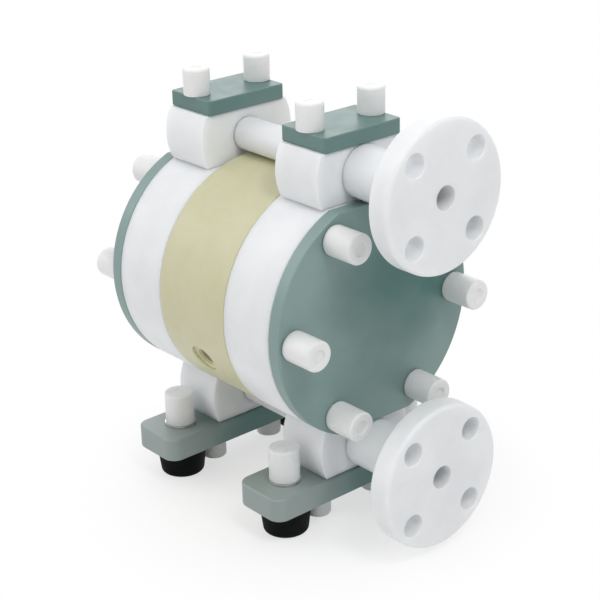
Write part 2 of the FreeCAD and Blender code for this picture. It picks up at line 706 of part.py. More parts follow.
def make_end_washers():
    """Flat washers under the end cap nuts, six at each end."""
    made = body("end_washers")
    ring = sketch(made, "end_washer_section", "YZ_Plane", lift="nut_face")
    circle(ring, "tie_rod_ring", "0", "end_washer_radius")
    circle(ring, "tie_rod_ring", "0", "tie_rod_radius")
    solid = pad(made, "end_washer", ring, "end_washer_thickness")
    other = sketch(made, "far_washer_section", "YZ_Plane", lift="-nut_face - end_washer_thickness")
    circle(other, "-tie_rod_ring", "0", "end_washer_radius")
    circle(other, "-tie_rod_ring", "0", "tie_rod_radius")
    far = pad(made, "far_washer", other, "end_washer_thickness")
    pattern(made, "end_washer_pattern", [solid, far], shaft_axis(made), "tie_rod_count")


def nut_outline(drawn, across, base, radius, height, bore, depth, hanging=False):
    """Draw half of a cap nut on one side of a level, beside an upright axis."""
    away = " - " if hanging else " + "
    outer, inner = across + " + " + radius, across + " + " + bore
    tip = "%s%s(%s)" % (base, away, height)
    floor = "%s%s(%s)" % (base, away, depth)
    outline(drawn, [
        (across, floor), (inner, floor), (inner, base), (outer, base),
        rounded(outer, tip, "nut_edge_round"), (across, tip),
    ])
    axis(drawn, (across, base), (across, tip))


def make_end_nuts(label, turned):
    """Six covered cap nuts on one end plate."""
    made = body(label, turned)
    half = sketch(made, label + "_profile", "XY_Plane")
    base = "nut_face + end_washer_thickness"
    depth = "rod_grip + nut_bore_spare"
    outline(half, [
        (base + " + " + depth, "tie_rod_ring"), (base + " + " + depth, "tie_rod_ring + tie_rod_radius"),
        (base, "tie_rod_ring + tie_rod_radius"), (base, "tie_rod_ring + end_nut_radius"),
        rounded("end_reach", "tie_rod_ring + end_nut_radius", "nut_edge_round"),
        ("end_reach", "tie_rod_ring"),
    ])
    axis(half, (base, "tie_rod_ring"), ("end_reach", "tie_rod_ring"))
    solid = revolve(made, label + "_nut", half, "Axis0")
    pattern(made, label + "_pattern", [solid], shaft_axis(made), "tie_rod_count")


# Valve blocks and manifold

def make_block(label, turned, upper):
    """A valve block: a short round bar along the manifold axis with two flats."""
    made = body(label, turned)
    level = "manifold_height" if upper else "-manifold_height"
    bar = sketch(made, label + "_bar", "YZ_Plane", lift="block_inner")
    circle(bar, "0", level, "block_radius")
    pad(made, label + "_pad", bar, "block_half_width * 2")
    flats = sketch(made, label + "_flats", "YZ_Plane")
    above = level + " + block_half_height"
    below = level + " - block_half_height"
    rectangle(flats, "-block_radius", "block_radius", above, level + " + block_radius + 1")
    rectangle(flats, "-block_radius", "block_radius", level + " - block_radius - 1", below)
    pocket(made, label + "_flat_cut", flats)

    way = sketch(made, label + "_way", "XZ_Plane")
    link_socket = "block_inner + socket_depth"
    ring = "block_inner + socket_depth / 2"
    groove_wall = level + " + link_radius + link_ring_section * 2"
    corners = [
        ("block_inner", level), ("block_inner", level + " + link_radius"),
        (ring + " - link_ring_section", level + " + link_radius"),
        (ring + " - link_ring_section", groove_wall), (ring + " + link_ring_section", groove_wall),
        (ring + " + link_ring_section", level + " + link_radius"),
        (link_socket, level + " + link_radius"), (link_socket, level + " + way_radius"),
    ]
    if turned:
        corners += [("valve_offset", level + " + way_radius"), ("valve_offset", level)]
    else:
        spigot_end = "block_outer - socket_depth"
        corners += [
            (spigot_end, level + " + way_radius"), (spigot_end, level + " + spigot_radius"),
            ("block_outer", level + " + spigot_radius"), ("block_outer", level),
        ]
    outline(way, corners)
    axis(way, ("block_inner", level), ("block_outer", level))
    groove(made, label + "_way_cut", way, "Axis0")

    valve = sketch(made, label + "_valve", "XZ_Plane")
    if upper:
        outline(valve, [
            ("valve_offset", "body_flat"), ("valve_offset + cavity_radius", "body_flat"),
            ("valve_offset + cavity_radius", "body_flat + cavity_height"),
            ("valve_offset", "body_flat + cavity_height"),
        ])
    else:
        seat_floor = "-body_flat - seat_height"
        outline(valve, [
            ("valve_offset", "-body_flat"), ("valve_offset + seat_radius", "-body_flat"),
            ("valve_offset + seat_radius", seat_floor), ("valve_offset + way_radius", seat_floor),
            ("valve_offset + way_radius", level), ("valve_offset", level),
        ])
    axis(valve, ("valve_offset", "0"), ("valve_offset", level))
    groove(made, label + "_valve_cut", valve, "Axis0")

    studs = sketch(made, label + "_stud_holes", "XY_Plane")
    for offset in ("clamp_stud_offset", "-clamp_stud_offset"):
        circle(studs, "valve_offset", offset, "clamp_stud_radius + clamp_stud_clearance")
    pocket(made, label + "_stud_cuts", studs)

    def rim(edge):
        return (arc_at("block_inner", "block_radius")(edge)
                or arc_at("block_outer", "block_radius")(edge))

    round_edges(made, label + "_rounds", made.Tip, rim, "body_edge_round")


def make_link_tube(label, level):
    """The tube between a left and a right valve block."""
    made = body(label)
    ring = sketch(made, label + "_section", "YZ_Plane")
    circle(ring, "0", level, "link_radius")
    circle(ring, "0", level, "way_radius")
    pad(made, label + "_pad", ring, "(block_inner + socket_depth) * 2", both_ways=True)


def make_flange_pipe(label, level):
    """A short pipe with its flange in one piece, and a spigot into its block."""
    made = body(label)
    half = sketch(made, label + "_profile", "XZ_Plane")
    spigot_end = "block_outer - socket_depth"
    outline(half, [
        (spigot_end, level + " + port_radius"), (spigot_end, level + " + spigot_radius"),
        ("block_outer", level + " + spigot_radius"), ("block_outer", level + " + pipe_radius"),
        ("flange_back", level + " + pipe_radius"), ("flange_back", level + " + flange_radius"),
        ("flange_reach", level + " + flange_radius"), ("flange_reach", level + " + port_radius"),
    ])
    axis(half, (spigot_end, level), ("flange_reach", level))
    turned_pipe = revolve(made, label + "_turned", half, "Axis0")

    def rims(edge):
        return (arc_at("flange_back", "flange_radius")(edge)
                or arc_at("flange_reach", "flange_radius")(edge))

    rim = round_edges(made, label + "_rim", turned_pipe, rims, "flange_rim_round")
    round_edges(made, label + "_root", rim, arc_at("flange_back", "pipe_radius"), "pipe_root_round")

    hole = sketch(made, label + "_bolt_hole", "YZ_Plane", rise=level)
    circle(hole, "flange_bolt_ring * cos(180deg / flange_bolt_count)",
           "flange_bolt_ring * sin(180deg / flange_bolt_count)", "flange_bolt_radius")
    cut = pocket(made, label + "_bolt_cut", hole)
    pattern(made, label + "_bolt_cuts", [cut], (hole, ["N_Axis"]), "flange_bolt_count")


# Check valves

def make_seat(label, turned, level):
    """A valve seat ring with a 45 degree mouth on top."""
    made = body(label, turned)
    half = sketch(made, label + "_profile", "XZ_Plane")
    bore = "valve_offset + seat_bore_radius"
    outline(half, [
        (bore, level + " - seat_height"), ("valve_offset + seat_radius", level + " - seat_height"),
        ("valve_offset + seat_radius", level), (bore + " + seat_cone_depth", level),
        (bore, level + " - seat_cone_depth"),
    ])
    axis(half, ("valve_offset", level + " - seat_height"), ("valve_offset", level))
    revolve(made, label + "_ring", half, "Axis0")


def make_cage(label, turned, level):
    """A ball cage: bottom ring, guide ribs and the plate that stops the ball."""
    made = body(label, turned)
    half = sketch(made, label + "_profile", "XZ_Plane")
    outer = "valve_offset + cage_radius"
    inner = "valve_offset + rib_inner"
    outline(half, [
        (inner, level), (outer, level), (outer, level + " + cage_height"),
        ("valve_offset + cage_cap_hole", level + " + cage_height"),
        ("valve_offset + cage_cap_hole", level + " + cage_cap_bottom"),
        (inner, level + " + cage_cap_bottom"),
    ])
    axis(half, ("valve_offset", level), ("valve_offset", level + " + cage_height"))
    revolve(made, label + "_shell", half, "Axis0")
    slots = sketch(made, label + "_windows", "XY_Plane", lift=level + " + cage_ring_height")
    rib = "cage_rib_width / 2"
    for across in ("+", "-"):
        for up in ("+", "-"):
            near = (across + "(" + rib + ")", up + "(" + rib + ")")
            far = (across + "cage_radius", up + "cage_radius")
            outline(slots, [
                ("valve_offset " + near[0], near[1]), ("valve_offset " + far[0], near[1]),
                ("valve_offset " + far[0], far[1]), ("valve_offset " + near[0], far[1]),
            ])
    pocket(made, label + "_window_cuts", slots, "cage_cap_bottom - cage_ring_height")


def make_ball(label, turned, level):
    """A check ball resting on its seat."""
    made = body(label, turned)
    half = sketch(made, label + "_profile", "XZ_Plane")
    centre_level = level + " + ball_rest"
    middle = Vector(number("valve_offset"), number(centre_level), 0)
    ring = Part.Circle(middle, Vector(0, 0, 1), number("ball_radius"))
    arc = half.addGeometry(Part.ArcOfCircle(ring, -math.pi / 2, math.pi / 2), False)
    ends = [middle + Vector(0, number("ball_radius"), 0), middle - Vector(0, number("ball_radius"), 0)]
    line = half.addGeometry(Part.LineSegment(*ends), False)
    half.addConstraint(Sketcher.Constraint("Coincident", arc, 2, line, 1))
    half.addConstraint(Sketcher.Constraint("Coincident", arc, 1, line, 2))
    half.addConstraint(Sketcher.Constraint("PointOnObject", arc, 3, line))
    half.addConstraint(Sketcher.Constraint("Vertical", line))
    fix(half, "Radius", "ball_radius", arc)
    fix(half, "DistanceX", "valve_offset", -1, 1, arc, 3)
    fix(half, "DistanceY", centre_level, -1, 1, arc, 3)
    axis(half, ("valve_offset", level), ("valve_offset", level + " + ball_rest"))
    revolve(made, label + "_ball", half, "Axis0")


def ring_solid(made, name, plane, across, up, ring, section, upright_axis):
    """Turn a round section into a sealing ring about a level or upright axis."""
    drawn = sketch(made, name + "_section", plane)
    if upright_axis:
        circle(drawn, across + " + " + ring, up, section)
        axis(drawn, (across, "0"), (across, "body_radius"))
    else:
        circle(drawn, across, up + " + " + ring, section)
        axis(drawn, ("0", up), ("body_radius", up))
    return revolve(made, name, drawn, "Axis0")


def make_seal_rings():
    """The rings between chambers and valve blocks, one round each seat or cage."""
    made = body("valve_seal_rings")
    solids = []
    for name, level in (("upper", "body_flat - seal_ring_section"),
                        ("lower", "-body_flat + seal_ring_section")):
        solids.append(ring_solid(made, name + "_seal_ring", "XZ_Plane", "valve_offset", level,
                                 "seal_ring_radius", "seal_ring_section", True))
    mirror(made, "seal_ring_pairs", solids, "YZ_Plane")


def make_link_rings():
    """The rings that seal the link tubes in their sockets."""
    made = body("link_tube_rings")
    solids = []
    for name, level in (("upper", "manifold_height"), ("lower", "-manifold_height")):
        solids.append(ring_solid(made, name + "_link_ring", "XZ_Plane",
                                 "block_inner + socket_depth / 2", level,
                                 "link_radius + link_ring_section", "link_ring_section", False))
    mirror(made, "link_ring_pairs", solids, "YZ_Plane")


# Clamps and feet

# The XZ plane's normal points to -Y, so a lift along it has the other sign
MINUS = {"": "-", "-": ""}


def plate(label, turned, bottom, thickness, half_length, half_width, corner):
    """A rounded plate across the shaft, under or over a valve block."""
    made = body(label, turned)
    area = sketch(made, label + "_area", "XY_Plane", lift=bottom)
    rectangle(area, "valve_offset - " + half_width, "valve_offset + " + half_width,
              "-" + half_length, half_length)
    solid = pad(made, label + "_pad", area, thickness)
    round_edges(made, label + "_corners", solid, upright, corner)
    return made


def make_clamp_plate(label, turned):
    """The plate over an upper valve block, held by two covered nuts."""
    made = plate(label, turned, "block_face", "clamp_thickness", "clamp_half_length",
                 "plate_half_width", "clamp_corner_round")
    holes = sketch(made, label + "_holes", "XY_Plane")
    for offset in ("clamp_stud_offset", "-clamp_stud_offset"):
        circle(holes, "valve_offset", offset, "clamp_stud_radius + clamp_stud_clearance")
    pocket(made, label + "_hole_cuts", holes)
    chamfer_plate(made, label, "block_face", "clamp_face")


def chamfer_plate(made, label, low, high):
    """Chamfer the outer edges of a plate's two faces, holes left sharp."""
    def border(edge):
        box = edge.BoundBox
        level = box.ZLength < 0.01 and (close(box.ZMin, low) or close(box.ZMin, high))
        small = hasattr(edge.Curve, "Radius") and edge.isClosed()
        return level and not small

    chamfer_edges(made, label + "_chamfer", made.Tip, border, "plate_edge_chamfer")


def make_foot_plate(label, turned):
    """The long plate under a lower valve block, which carries two rubber feet."""
    made = plate(label, turned, "-foot_face", "foot_thickness", "foot_half_length",
                 "plate_half_width", "foot_corner_round")
    holes = sketch(made, label + "_holes", "XY_Plane")
    for sign in ("", "-"):
        circle(holes, "valve_offset", sign + "clamp_stud_offset",
               "clamp_stud_radius + clamp_stud_clearance")
        circle(holes, "valve_offset", sign + "foot_stud_offset",
               "foot_stud_radius + foot_stud_clearance")
    pocket(made, label + "_hole_cuts", holes)
    chamfer_plate(made, label, "-foot_face", "-block_face")


def corner_pins(label, offset, bottom, length, radius):
    """Four upright rods or studs, one near each corner of the pump."""
    made = body(label)
    section = sketch(made, label + "_section", "XY_Plane", lift=bottom)
    for side in ("", "-"):
        for sign in ("", "-"):
            circle(section, side + "valve_offset", sign + offset, radius)
    pad(made, label + "_pad", section, length)
    return made


def corner_nuts(label, offset, base, radius, height, bore, depth, hanging=False):
    """Four upright cap nuts, one near each corner of the pump, on a level or hanging below it."""
    made = body(label)
    solids = []
    for index, (side, sign) in enumerate((("", ""), ("", "-"), ("-", ""), ("-", "-"))):
        half = sketch(made, "%s_profile_%d" % (label, index), "XZ_Plane", lift=MINUS[sign] + offset)
        nut_outline(half, side + "valve_offset", base, radius, height, bore, depth, hanging)
        solids.append(revolve(made, "%s_nut_%d" % (label, index), half, "Axis0"))
    made.Tip = solids[-1]


def corner_washers(label, offset, bottom, thickness, outer, inner):
    """Four flat washers, one near each corner of the pump."""
    made = body(label)
    section = sketch(made, label + "_section", "XY_Plane", lift=bottom)
    for side in ("", "-"):
        for sign in ("", "-"):
            circle(section, side + "valve_offset", sign + offset, outer)
            circle(section, side + "valve_offset", sign + offset, inner)
    pad(made, label + "_pad", section, thickness)


def make_rubber_foot(label, turned, sign):
    """A tapered rubber foot with its stud's socket."""
    made = body(label, turned)
    half = sketch(made, label + "_profile", "XZ_Plane", lift=MINUS[sign] + "foot_stud_offset")
    floor = "-foot_face - rubber_height"
    outline(half, [
        ("valve_offset", "-foot_face - foot_stud_sink"),
        ("valve_offset + foot_stud_radius", "-foot_face - foot_stud_sink"),
        ("valve_offset + foot_stud_radius", "-foot_face"),
        ("valve_offset + rubber_top_radius", "-foot_face"),
        ("valve_offset + rubber_base_radius", floor), ("valve_offset", floor),
    ])
    axis(half, ("valve_offset", floor), ("valve_offset", "-foot_face"))
    solid = revolve(made, label + "_rubber", half, "Axis0")

    def lower_rim(edge):
        box = edge.BoundBox
        return box.ZLength < 0.01 and close(box.ZMin, floor)

    round_edges(made, label + "_base", solid, lower_rim, "rubber_base_round")


# Shaft, discs and diaphragms

def make_shaft():
    """The centre shaft with a threaded end for each pair of discs."""
    made = body("centre_shaft")
    half = sketch(made, "shaft_profile", "XZ_Plane")
    end = "liquid_side + outer_disc_thread - outer_disc_spare"
    outline(half, [
        ("-(" + end + ")", "0"), (end, "0"), (end, "stud_radius"), ("disc_face", "stud_radius"),
        ("disc_face", "shaft_radius"), ("-disc_face", "shaft_radius"), ("-disc_face", "stud_radius"),
        ("-(" + end + ")", "stud_radius"),
    ])
    revolve(made, "shaft_turned", half)


def make_inner_disc(label, turned):
    """The disc on the air side of a diaphragm, which pushes the pilot pin."""
    made = body(label, turned)
    half = sketch(made, label + "_profile", "XZ_Plane")
    outline(half, [
        ("disc_face", "stud_radius"), rounded("disc_face", "disc_radius", "disc_edge_round"),
        ("joint_face", "disc_radius"),
        ("joint_face", "stud_radius"),
    ])
    revolve(made, label + "_turned", half)


def make_outer_disc(label, turned):
    """The covered disc on the liquid side, with a blind thread and a low crown."""
    made = body(label, turned)
    half = sketch(made, label + "_profile", "XZ_Plane")
    outline(half, [
        ("liquid_side + outer_disc_thread", "0"), ("liquid_side + outer_disc_thread", "stud_radius"),
        ("liquid_side", "stud_radius"), ("liquid_side", "disc_radius"),
        bowed("disc_rim - disc_edge_round", "disc_radius", "disc_edge_round", "right"),
        bowed("disc_rim", "crown_half", "crown_radius", "right"), ("disc_crown", "0"),
    ])
    revolve(made, label + "_turned", half)


def make_diaphragm(label, turned):
    """A flexible disc with one rolling wave between its clamped rim and its discs."""
    made = body(label, turned)
    half = sketch(made, label + "_profile", "XZ_Plane")
    outline(half, [
        ("joint_face", "stud_radius"),
        bowed("joint_face", "wave_middle - wave_half", "wave_outer", "right"),
        ("joint_face", "wave_middle + wave_half"), ("joint_face", "diaphragm_radius"),
        ("liquid_side", "diaphragm_radius"),
        bowed("liquid_side", "wave_middle + wave_inner_half", "wave_inner", "left"),
        ("liquid_side", "wave_middle - wave_inner_half"), ("liquid_side", "stud_radius"),
    ])
    revolve(made, label + "_turned", half)


def make_guide_bushes():
    """The two collared bushes that guide the shaft, each with a seal groove."""
    made = body("guide_bushes")
    half = sketch(made, "bush_profile", "XZ_Plane")
    bore = "shaft_radius + shaft_clearance"
    start = "air_floor - bush_length"
    seal = "air_floor - bush_length / 2"
    outline(half, [
        (start, bore), (seal + " - shaft_seal_section", bore),
        (seal + " - shaft_seal_section", bore + " + shaft_seal_section * 2"),
        (seal + " + shaft_seal_section", bore + " + shaft_seal_section * 2"),
        (seal + " + shaft_seal_section", bore), ("air_floor", bore),
        ("air_floor", "bush_collar_radius"), ("air_floor - bush_collar_thickness", "bush_collar_radius"),
        ("air_floor - bush_collar_thickness", "bush_radius"), (start, "bush_radius"),
    ])
    solid = revolve(made, "guide_bush", half)
    mirror(made, "guide_bush_pair", [solid], "YZ_Plane")


def make_shaft_seals():
    """The two rings that seal the shaft."""
    made = body("shaft_seals")
    solid = ring_solid(made, "shaft_seal", "XZ_Plane", "air_floor - bush_length / 2", "0",
                       "shaft_radius + shaft_clearance + shaft_seal_section", "shaft_seal_section", False)
    mirror(made, "shaft_seal_pair", [solid], "YZ_Plane")


# Air valve

def make_spool_sleeve():
    """The sleeve round the spool, with ring grooves and radial holes."""
    made = body("spool_sleeve")
    ring = sketch(made, "sleeve_section", "YZ_Plane")
    circle(ring, "spool_y", "spool_z", "sleeve_radius")
    circle(ring, "spool_y", "spool_z", "spool_radius + spool_clearance")
    pad(made, "sleeve_pad", ring, "sleeve_half_length * 2", both_ways=True)
    band = sketch(made, "sleeve_band", "YZ_Plane",
                  lift="-sleeve_groove_pitch * (sleeve_groove_count - 1) / 2 - sleeve_groove_width / 2")
    circle(band, "spool_y", "spool_z", "sleeve_radius + 1")
    circle(band, "spool_y", "spool_z", "sleeve_radius - sleeve_groove_depth")
    band_cut = pocket(made, "sleeve_band_cut", band, "sleeve_groove_width")
    drill = sketch(made, "sleeve_drill", "XY_Plane", lift="spool_z")
    circle(drill, "-sleeve_groove_pitch * (sleeve_groove_count - 1) / 2", "spool_y",
           "sleeve_hole_radius")
    drill_cut = pocket(made, "sleeve_drill_cut", drill)
    rows = made.newObject("PartDesign::LinearPattern", "sleeve_rows")
    rows.Originals = [band_cut, drill_cut]
    rows.Direction = (origin_feature(made, "X_Axis"), [""])
    rows.setExpression("Length", expression("sleeve_groove_pitch * (sleeve_groove_count - 1)"))
    rows.setExpression("Occurrences", expression("sleeve_groove_count"))
    made.Tip = rows


def make_spool():
    """The spool: three lands and two necks."""
    made = body("spool")
    half = sketch(made, "spool_profile", "XY_Plane", lift="spool_z")
    end = "spool_half_length"
    land = "spool_half_length - spool_end_land"
    neck = "spool_y + spool_neck_radius"
    wide = "spool_y + spool_radius"
    outline(half, [
        ("-" + end, "spool_y"), (end, "spool_y"), (end, wide), (land, wide), (land, neck),
        ("spool_land_half", neck), ("spool_land_half", wide), ("-spool_land_half", wide),
        ("-spool_land_half", neck), ("-(" + land + ")", neck), ("-(" + land + ")", wide),
        ("-" + end, wide),
    ])
    axis(half, ("-" + end, "spool_y"), (end, "spool_y"))
    revolve(made, "spool_turned", half, "Axis0")


def make_spool_caps():
    """The caps that close the two ends of the spool's bore."""
    made = body("spool_caps")
    disc = sketch(made, "spool_cap_disc", "YZ_Plane", lift="sleeve_half_length")
    circle(disc, "spool_y", "spool_z", "sleeve_radius")
    solid = pad(made, "spool_cap", disc, "spool_cap_thickness")
    mirror(made, "spool_cap_pair", [solid], "YZ_Plane")


def make_pilot_pin():
    """The pin that the inner discs push from side to side."""
    made = body("pilot_pin")
    section = sketch(made, "pilot_section", "YZ_Plane")
    circle(section, "0", "pilot_height", "pilot_radius")
    pad(made, "pilot_pad", section, "pilot_half_length * 2", both_ways=True)


# The whole pump
make_centre_body()
make_tie_rods()
make_end_washers()
for side, left_hand in (("right", False), ("left", True)):
    make_chamber("chamber_" + side, left_hand)
    make_end_plate("end_plate_" + side, left_hand)
    make_end_nuts("end_cap_nuts_" + side, left_hand)
    make_inner_disc("inner_disc_" + side, left_hand)
    make_outer_disc("outer_disc_" + side, left_hand)
    make_diaphragm("diaphragm_" + side, left_hand)
    make_block("discharge_block_" + side, left_hand, upper=True)
    make_block("suction_block_" + side, left_hand, upper=False)
    for stage, joint in (("discharge", "body_flat"), ("suction", "-body_flat")):
        make_seat("%s_seat_%s" % (stage, side), left_hand, joint)
        make_cage("%s_cage_%s" % (stage, side), left_hand, joint)
        make_ball("%s_ball_%s" % (stage, side), left_hand, joint)
    make_clamp_plate("clamp_plate_" + side, left_hand)
    make_foot_plate("foot_plate_" + side, left_hand)
    for corner, sign in (("front", "-" if not left_hand else ""), ("rear", "" if not left_hand else "-")):
        make_rubber_foot("rubber_foot_%s_%s" % (corner, side), left_hand, sign)
make_seal_rings()
make_link_rings()
for stage, height in (("discharge", "manifold_height"), ("suction", "-manifold_height")):
    make_link_tube(stage + "_link_tube", height)
    make_flange_pipe(stage + "_flange_pipe", height)
corner_pins("clamp_studs", "clamp_stud_offset", "body_flat - clamp_stud_grip",
            "clamp_stud_grip + block_half_height * 2 + clamp_thickness + top_nut_thread",
            "clamp_stud_radius")
corner_nuts("top_cap_nuts", "clamp_stud_offset", "clamp_face", "top_nut_radius", "top_nut_height",
            "clamp_stud_radius", "top_nut_thread + nut_bore_spare")
corner_pins("foot_plate_bolts", "clamp_stud_offset",
            "-foot_face - lower_washer_thickness - lower_nut_thread",
            "clamp_stud_grip + block_half_height * 2 + foot_thickness + lower_washer_thickness"
            " + lower_nut_thread", "clamp_stud_radius")
corner_washers("foot_bolt_washers", "clamp_stud_offset", "-foot_face - lower_washer_thickness",
               "lower_washer_thickness", "lower_washer_radius", "clamp_stud_radius")
corner_nuts("lower_cap_nuts", "clamp_stud_offset", "-foot_face - lower_washer_thickness",
            "lower_nut_radius", "lower_nut_height", "clamp_stud_radius",
            "lower_nut_thread + nut_bore_spare", hanging=True)
corner_pins("foot_studs", "foot_stud_offset", "-foot_face - foot_stud_sink",
            "foot_stud_sink + foot_thickness + foot_washer_thickness + foot_nut_thread",
            "foot_stud_radius")
corner_washers("foot_washers", "foot_stud_offset", "-block_face", "foot_washer_thickness",
               "foot_washer_radius", "foot_stud_radius")
corner_nuts("foot_cap_nuts", "foot_stud_offset", "-block_face + foot_washer_thickness",
            "foot_nut_radius", "foot_nut_height", "foot_stud_radius",
            "foot_nut_thread + nut_bore_spare")
make_shaft()
make_guide_bushes()
make_shaft_seals()
make_spool_sleeve()
make_spool()
make_spool_caps()
make_pilot_pin()
doc.recompute()


# Tests before anything is written

def check_states():
    """Stop if any object of the document failed."""
    for item in doc.Objects:
        bad = [state for state in item.State if state in ("Invalid", "Error")]
        if bad:
            raise RuntimeError("%s is %s: %s" % (item.Name, bad, item.getStatusString()))


def check_cuts(piece):
    """Stop if a pocket or groove of a body removes nothing."""
    for feature in piece.Group:
        if feature.isDerivedFrom("PartDesign::Pocket") or feature.isDerivedFrom("PartDesign::Groove"):
            before = feature.BaseFeature.Shape.Volume
            if before - feature.Shape.Volume < 0.1:
                raise RuntimeError("%s cuts nothing" % feature.Name)


check_states()
pieces = [item for item in doc.Objects if item.isDerivedFrom("PartDesign::Body")]
os.makedirs("parts", exist_ok=True)
for piece in pieces:
    check_cuts(piece)
    if piece.Shape.isNull() or not piece.Shape.isValid():
        raise RuntimeError("%s has no valid shape" % piece.Label)
for piece in pieces:
    piece.Shape.exportStep("parts/%s.step" % piece.Label)
box = Part.makeCompound([piece.Shape for piece in pieces]).BoundBox
print("%d pieces, box X %.2f %.2f Y %.2f %.2f Z %.2f %.2f" % (
    len(pieces), box.XMin, box.XMax, box.YMin, box.YMax, box.ZMin, box.ZMax))
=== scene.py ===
"""Looks of a chemical diaphragm pump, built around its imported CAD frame.

Lengths are in metres in the frame's own axes: X runs along the shaft towards the
flange faces, Y to the far side and Z up from the floor.
"""
from __future__ import annotations

import logging
import math
from dataclasses import dataclass
from enum import Enum
from typing import Callable, Iterable, Sequence

import bmesh
import bpy
from mathutils import Matrix, Vector

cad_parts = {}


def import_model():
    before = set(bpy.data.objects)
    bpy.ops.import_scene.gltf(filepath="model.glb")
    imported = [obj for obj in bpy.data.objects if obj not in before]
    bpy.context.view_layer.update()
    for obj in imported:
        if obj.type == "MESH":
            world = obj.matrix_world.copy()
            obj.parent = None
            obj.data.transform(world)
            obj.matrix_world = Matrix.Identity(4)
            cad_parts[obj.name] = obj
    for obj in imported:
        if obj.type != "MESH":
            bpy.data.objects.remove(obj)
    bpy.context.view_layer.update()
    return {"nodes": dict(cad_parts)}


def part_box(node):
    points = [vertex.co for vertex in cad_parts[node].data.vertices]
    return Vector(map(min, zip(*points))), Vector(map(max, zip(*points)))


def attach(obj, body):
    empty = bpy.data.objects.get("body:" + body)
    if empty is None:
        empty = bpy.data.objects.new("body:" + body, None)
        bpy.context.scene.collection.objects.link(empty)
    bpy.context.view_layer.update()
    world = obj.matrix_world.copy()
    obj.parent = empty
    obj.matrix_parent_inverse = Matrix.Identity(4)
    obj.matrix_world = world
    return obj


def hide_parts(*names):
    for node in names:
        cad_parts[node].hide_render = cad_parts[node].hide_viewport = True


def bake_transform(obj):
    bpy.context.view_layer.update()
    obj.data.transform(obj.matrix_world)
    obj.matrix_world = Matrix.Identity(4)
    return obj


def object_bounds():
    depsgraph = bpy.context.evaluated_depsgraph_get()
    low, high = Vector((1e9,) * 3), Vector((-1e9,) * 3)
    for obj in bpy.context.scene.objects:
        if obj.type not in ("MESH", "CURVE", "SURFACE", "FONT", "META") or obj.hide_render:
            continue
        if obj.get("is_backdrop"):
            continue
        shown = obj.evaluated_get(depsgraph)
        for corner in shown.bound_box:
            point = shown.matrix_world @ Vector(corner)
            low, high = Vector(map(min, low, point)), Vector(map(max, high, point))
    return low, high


LOG = logging.getLogger("pump")
MM = 0.001
BODY = "pump_body"
ROUND_STEPS = 160
SMALL_STEPS = 64
# Edges that turn more than this stay sharp
CREASE = math.radians(32)
# Pitch of the wave texture at a scale of 1, in metres
WAVE_UNIT = math.tau / 20
# How far a cutter runs past the face that it opens
OVERCUT = 1.0 * MM
# Points nearer than this are one point
WELD = 0.001 * MM
# Levels nearer than this are one level
FLAT = 0.0001 * MM

Colour = tuple[float, float, float]
Triple = tuple[float, float, float]


class Way(Enum):
    """The direction of the axis that a round piece is turned about."""

    ALONG = Vector((1.0, 0.0, 0.0))
    UP = Vector((0.0, 0.0, 1.0))


class Side(Enum):
    """Which liquid chamber a piece belongs to, with its sign along X."""

    RIGHT = 1
    LEFT = -1

    @property
    def word(self) -> str:
        """Give the side's word in the node names."""
        return self.name.lower()

    def faces(self, node: str) -> tuple[float, float]:
        """Give the places of a node's inner and outer face along X."""
        low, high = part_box(node)
        return (low.x, high.x) if self is Side.RIGHT else (high.x, low.x)


class Stage(Enum):
    """Which valve row a piece belongs to, by its word in the node names."""

    DISCHARGE = "discharge"
    SUCTION = "suction"


# Finishes


class NodeWork:
    """A short way to add and join the nodes of a material or of the world."""

    def __init__(self, owner: bpy.types.Material | bpy.types.World, shader: str) -> None:
        """Take hold of the owner's nodes.

        Args:
            owner: the new material or world.
            shader: the name of the shader that it starts with.
        """
        owner.use_nodes = True
        self.tree = owner.node_tree
        self.shader = self.tree.nodes[shader]

    def add(self, kind: str, **values: object) -> bpy.types.Node:
        """Add one node and set its properties or input values.

        Args:
            kind: the node's type without its ShaderNode prefix.
            values: property names, or input names with spaces as underscores.

        Returns:
            The new node.
        """
        node = self.tree.nodes.new("ShaderNode" + kind)
        for key, value in values.items():
            label = key.replace("_", " ")
            if label in node.inputs:
                node.inputs[label].default_value = value
            else:
                setattr(node, key, value)
        return node

    def join(self, start: bpy.types.NodeSocket, end: bpy.types.NodeSocket) -> None:
        """Link an output to an input."""
        self.tree.links.new(start, end)

    def set(self, **values: object) -> None:
        """Set inputs of the shader, named with underscores for spaces."""
        for key, value in values.items():
            self.shader.inputs[key.replace("_", " ")].default_value = value

    def worked_out(self, operation: str, *values: bpy.types.NodeSocket,
                   kind: str = "Math") -> bpy.types.NodeSocket:
        """Work out one value from others.

        Args:
            operation: what is done with them, such as ADD.
            values: the sockets that it is done with.
            kind: Math for numbers, VectorMath for vectors.

        Returns:
            The socket with the result.
        """
        node = self.add(kind, operation=operation)
        for value, socket in zip(values, node.inputs):
            self.join(value, socket)
        return node.outputs["Value"]

    def seen(self) -> bpy.types.NodeSocket:
        """Give 1 where a camera, glossy or transmission ray looks, and 0 elsewhere.

        Returns:
            The value socket.
        """
        rays = self.add("LightPath").outputs
        first = self.worked_out("MAXIMUM", rays["Is Camera Ray"], rays["Is Glossy Ray"])
        return self.worked_out("MAXIMUM", first, rays["Is Transmission Ray"])


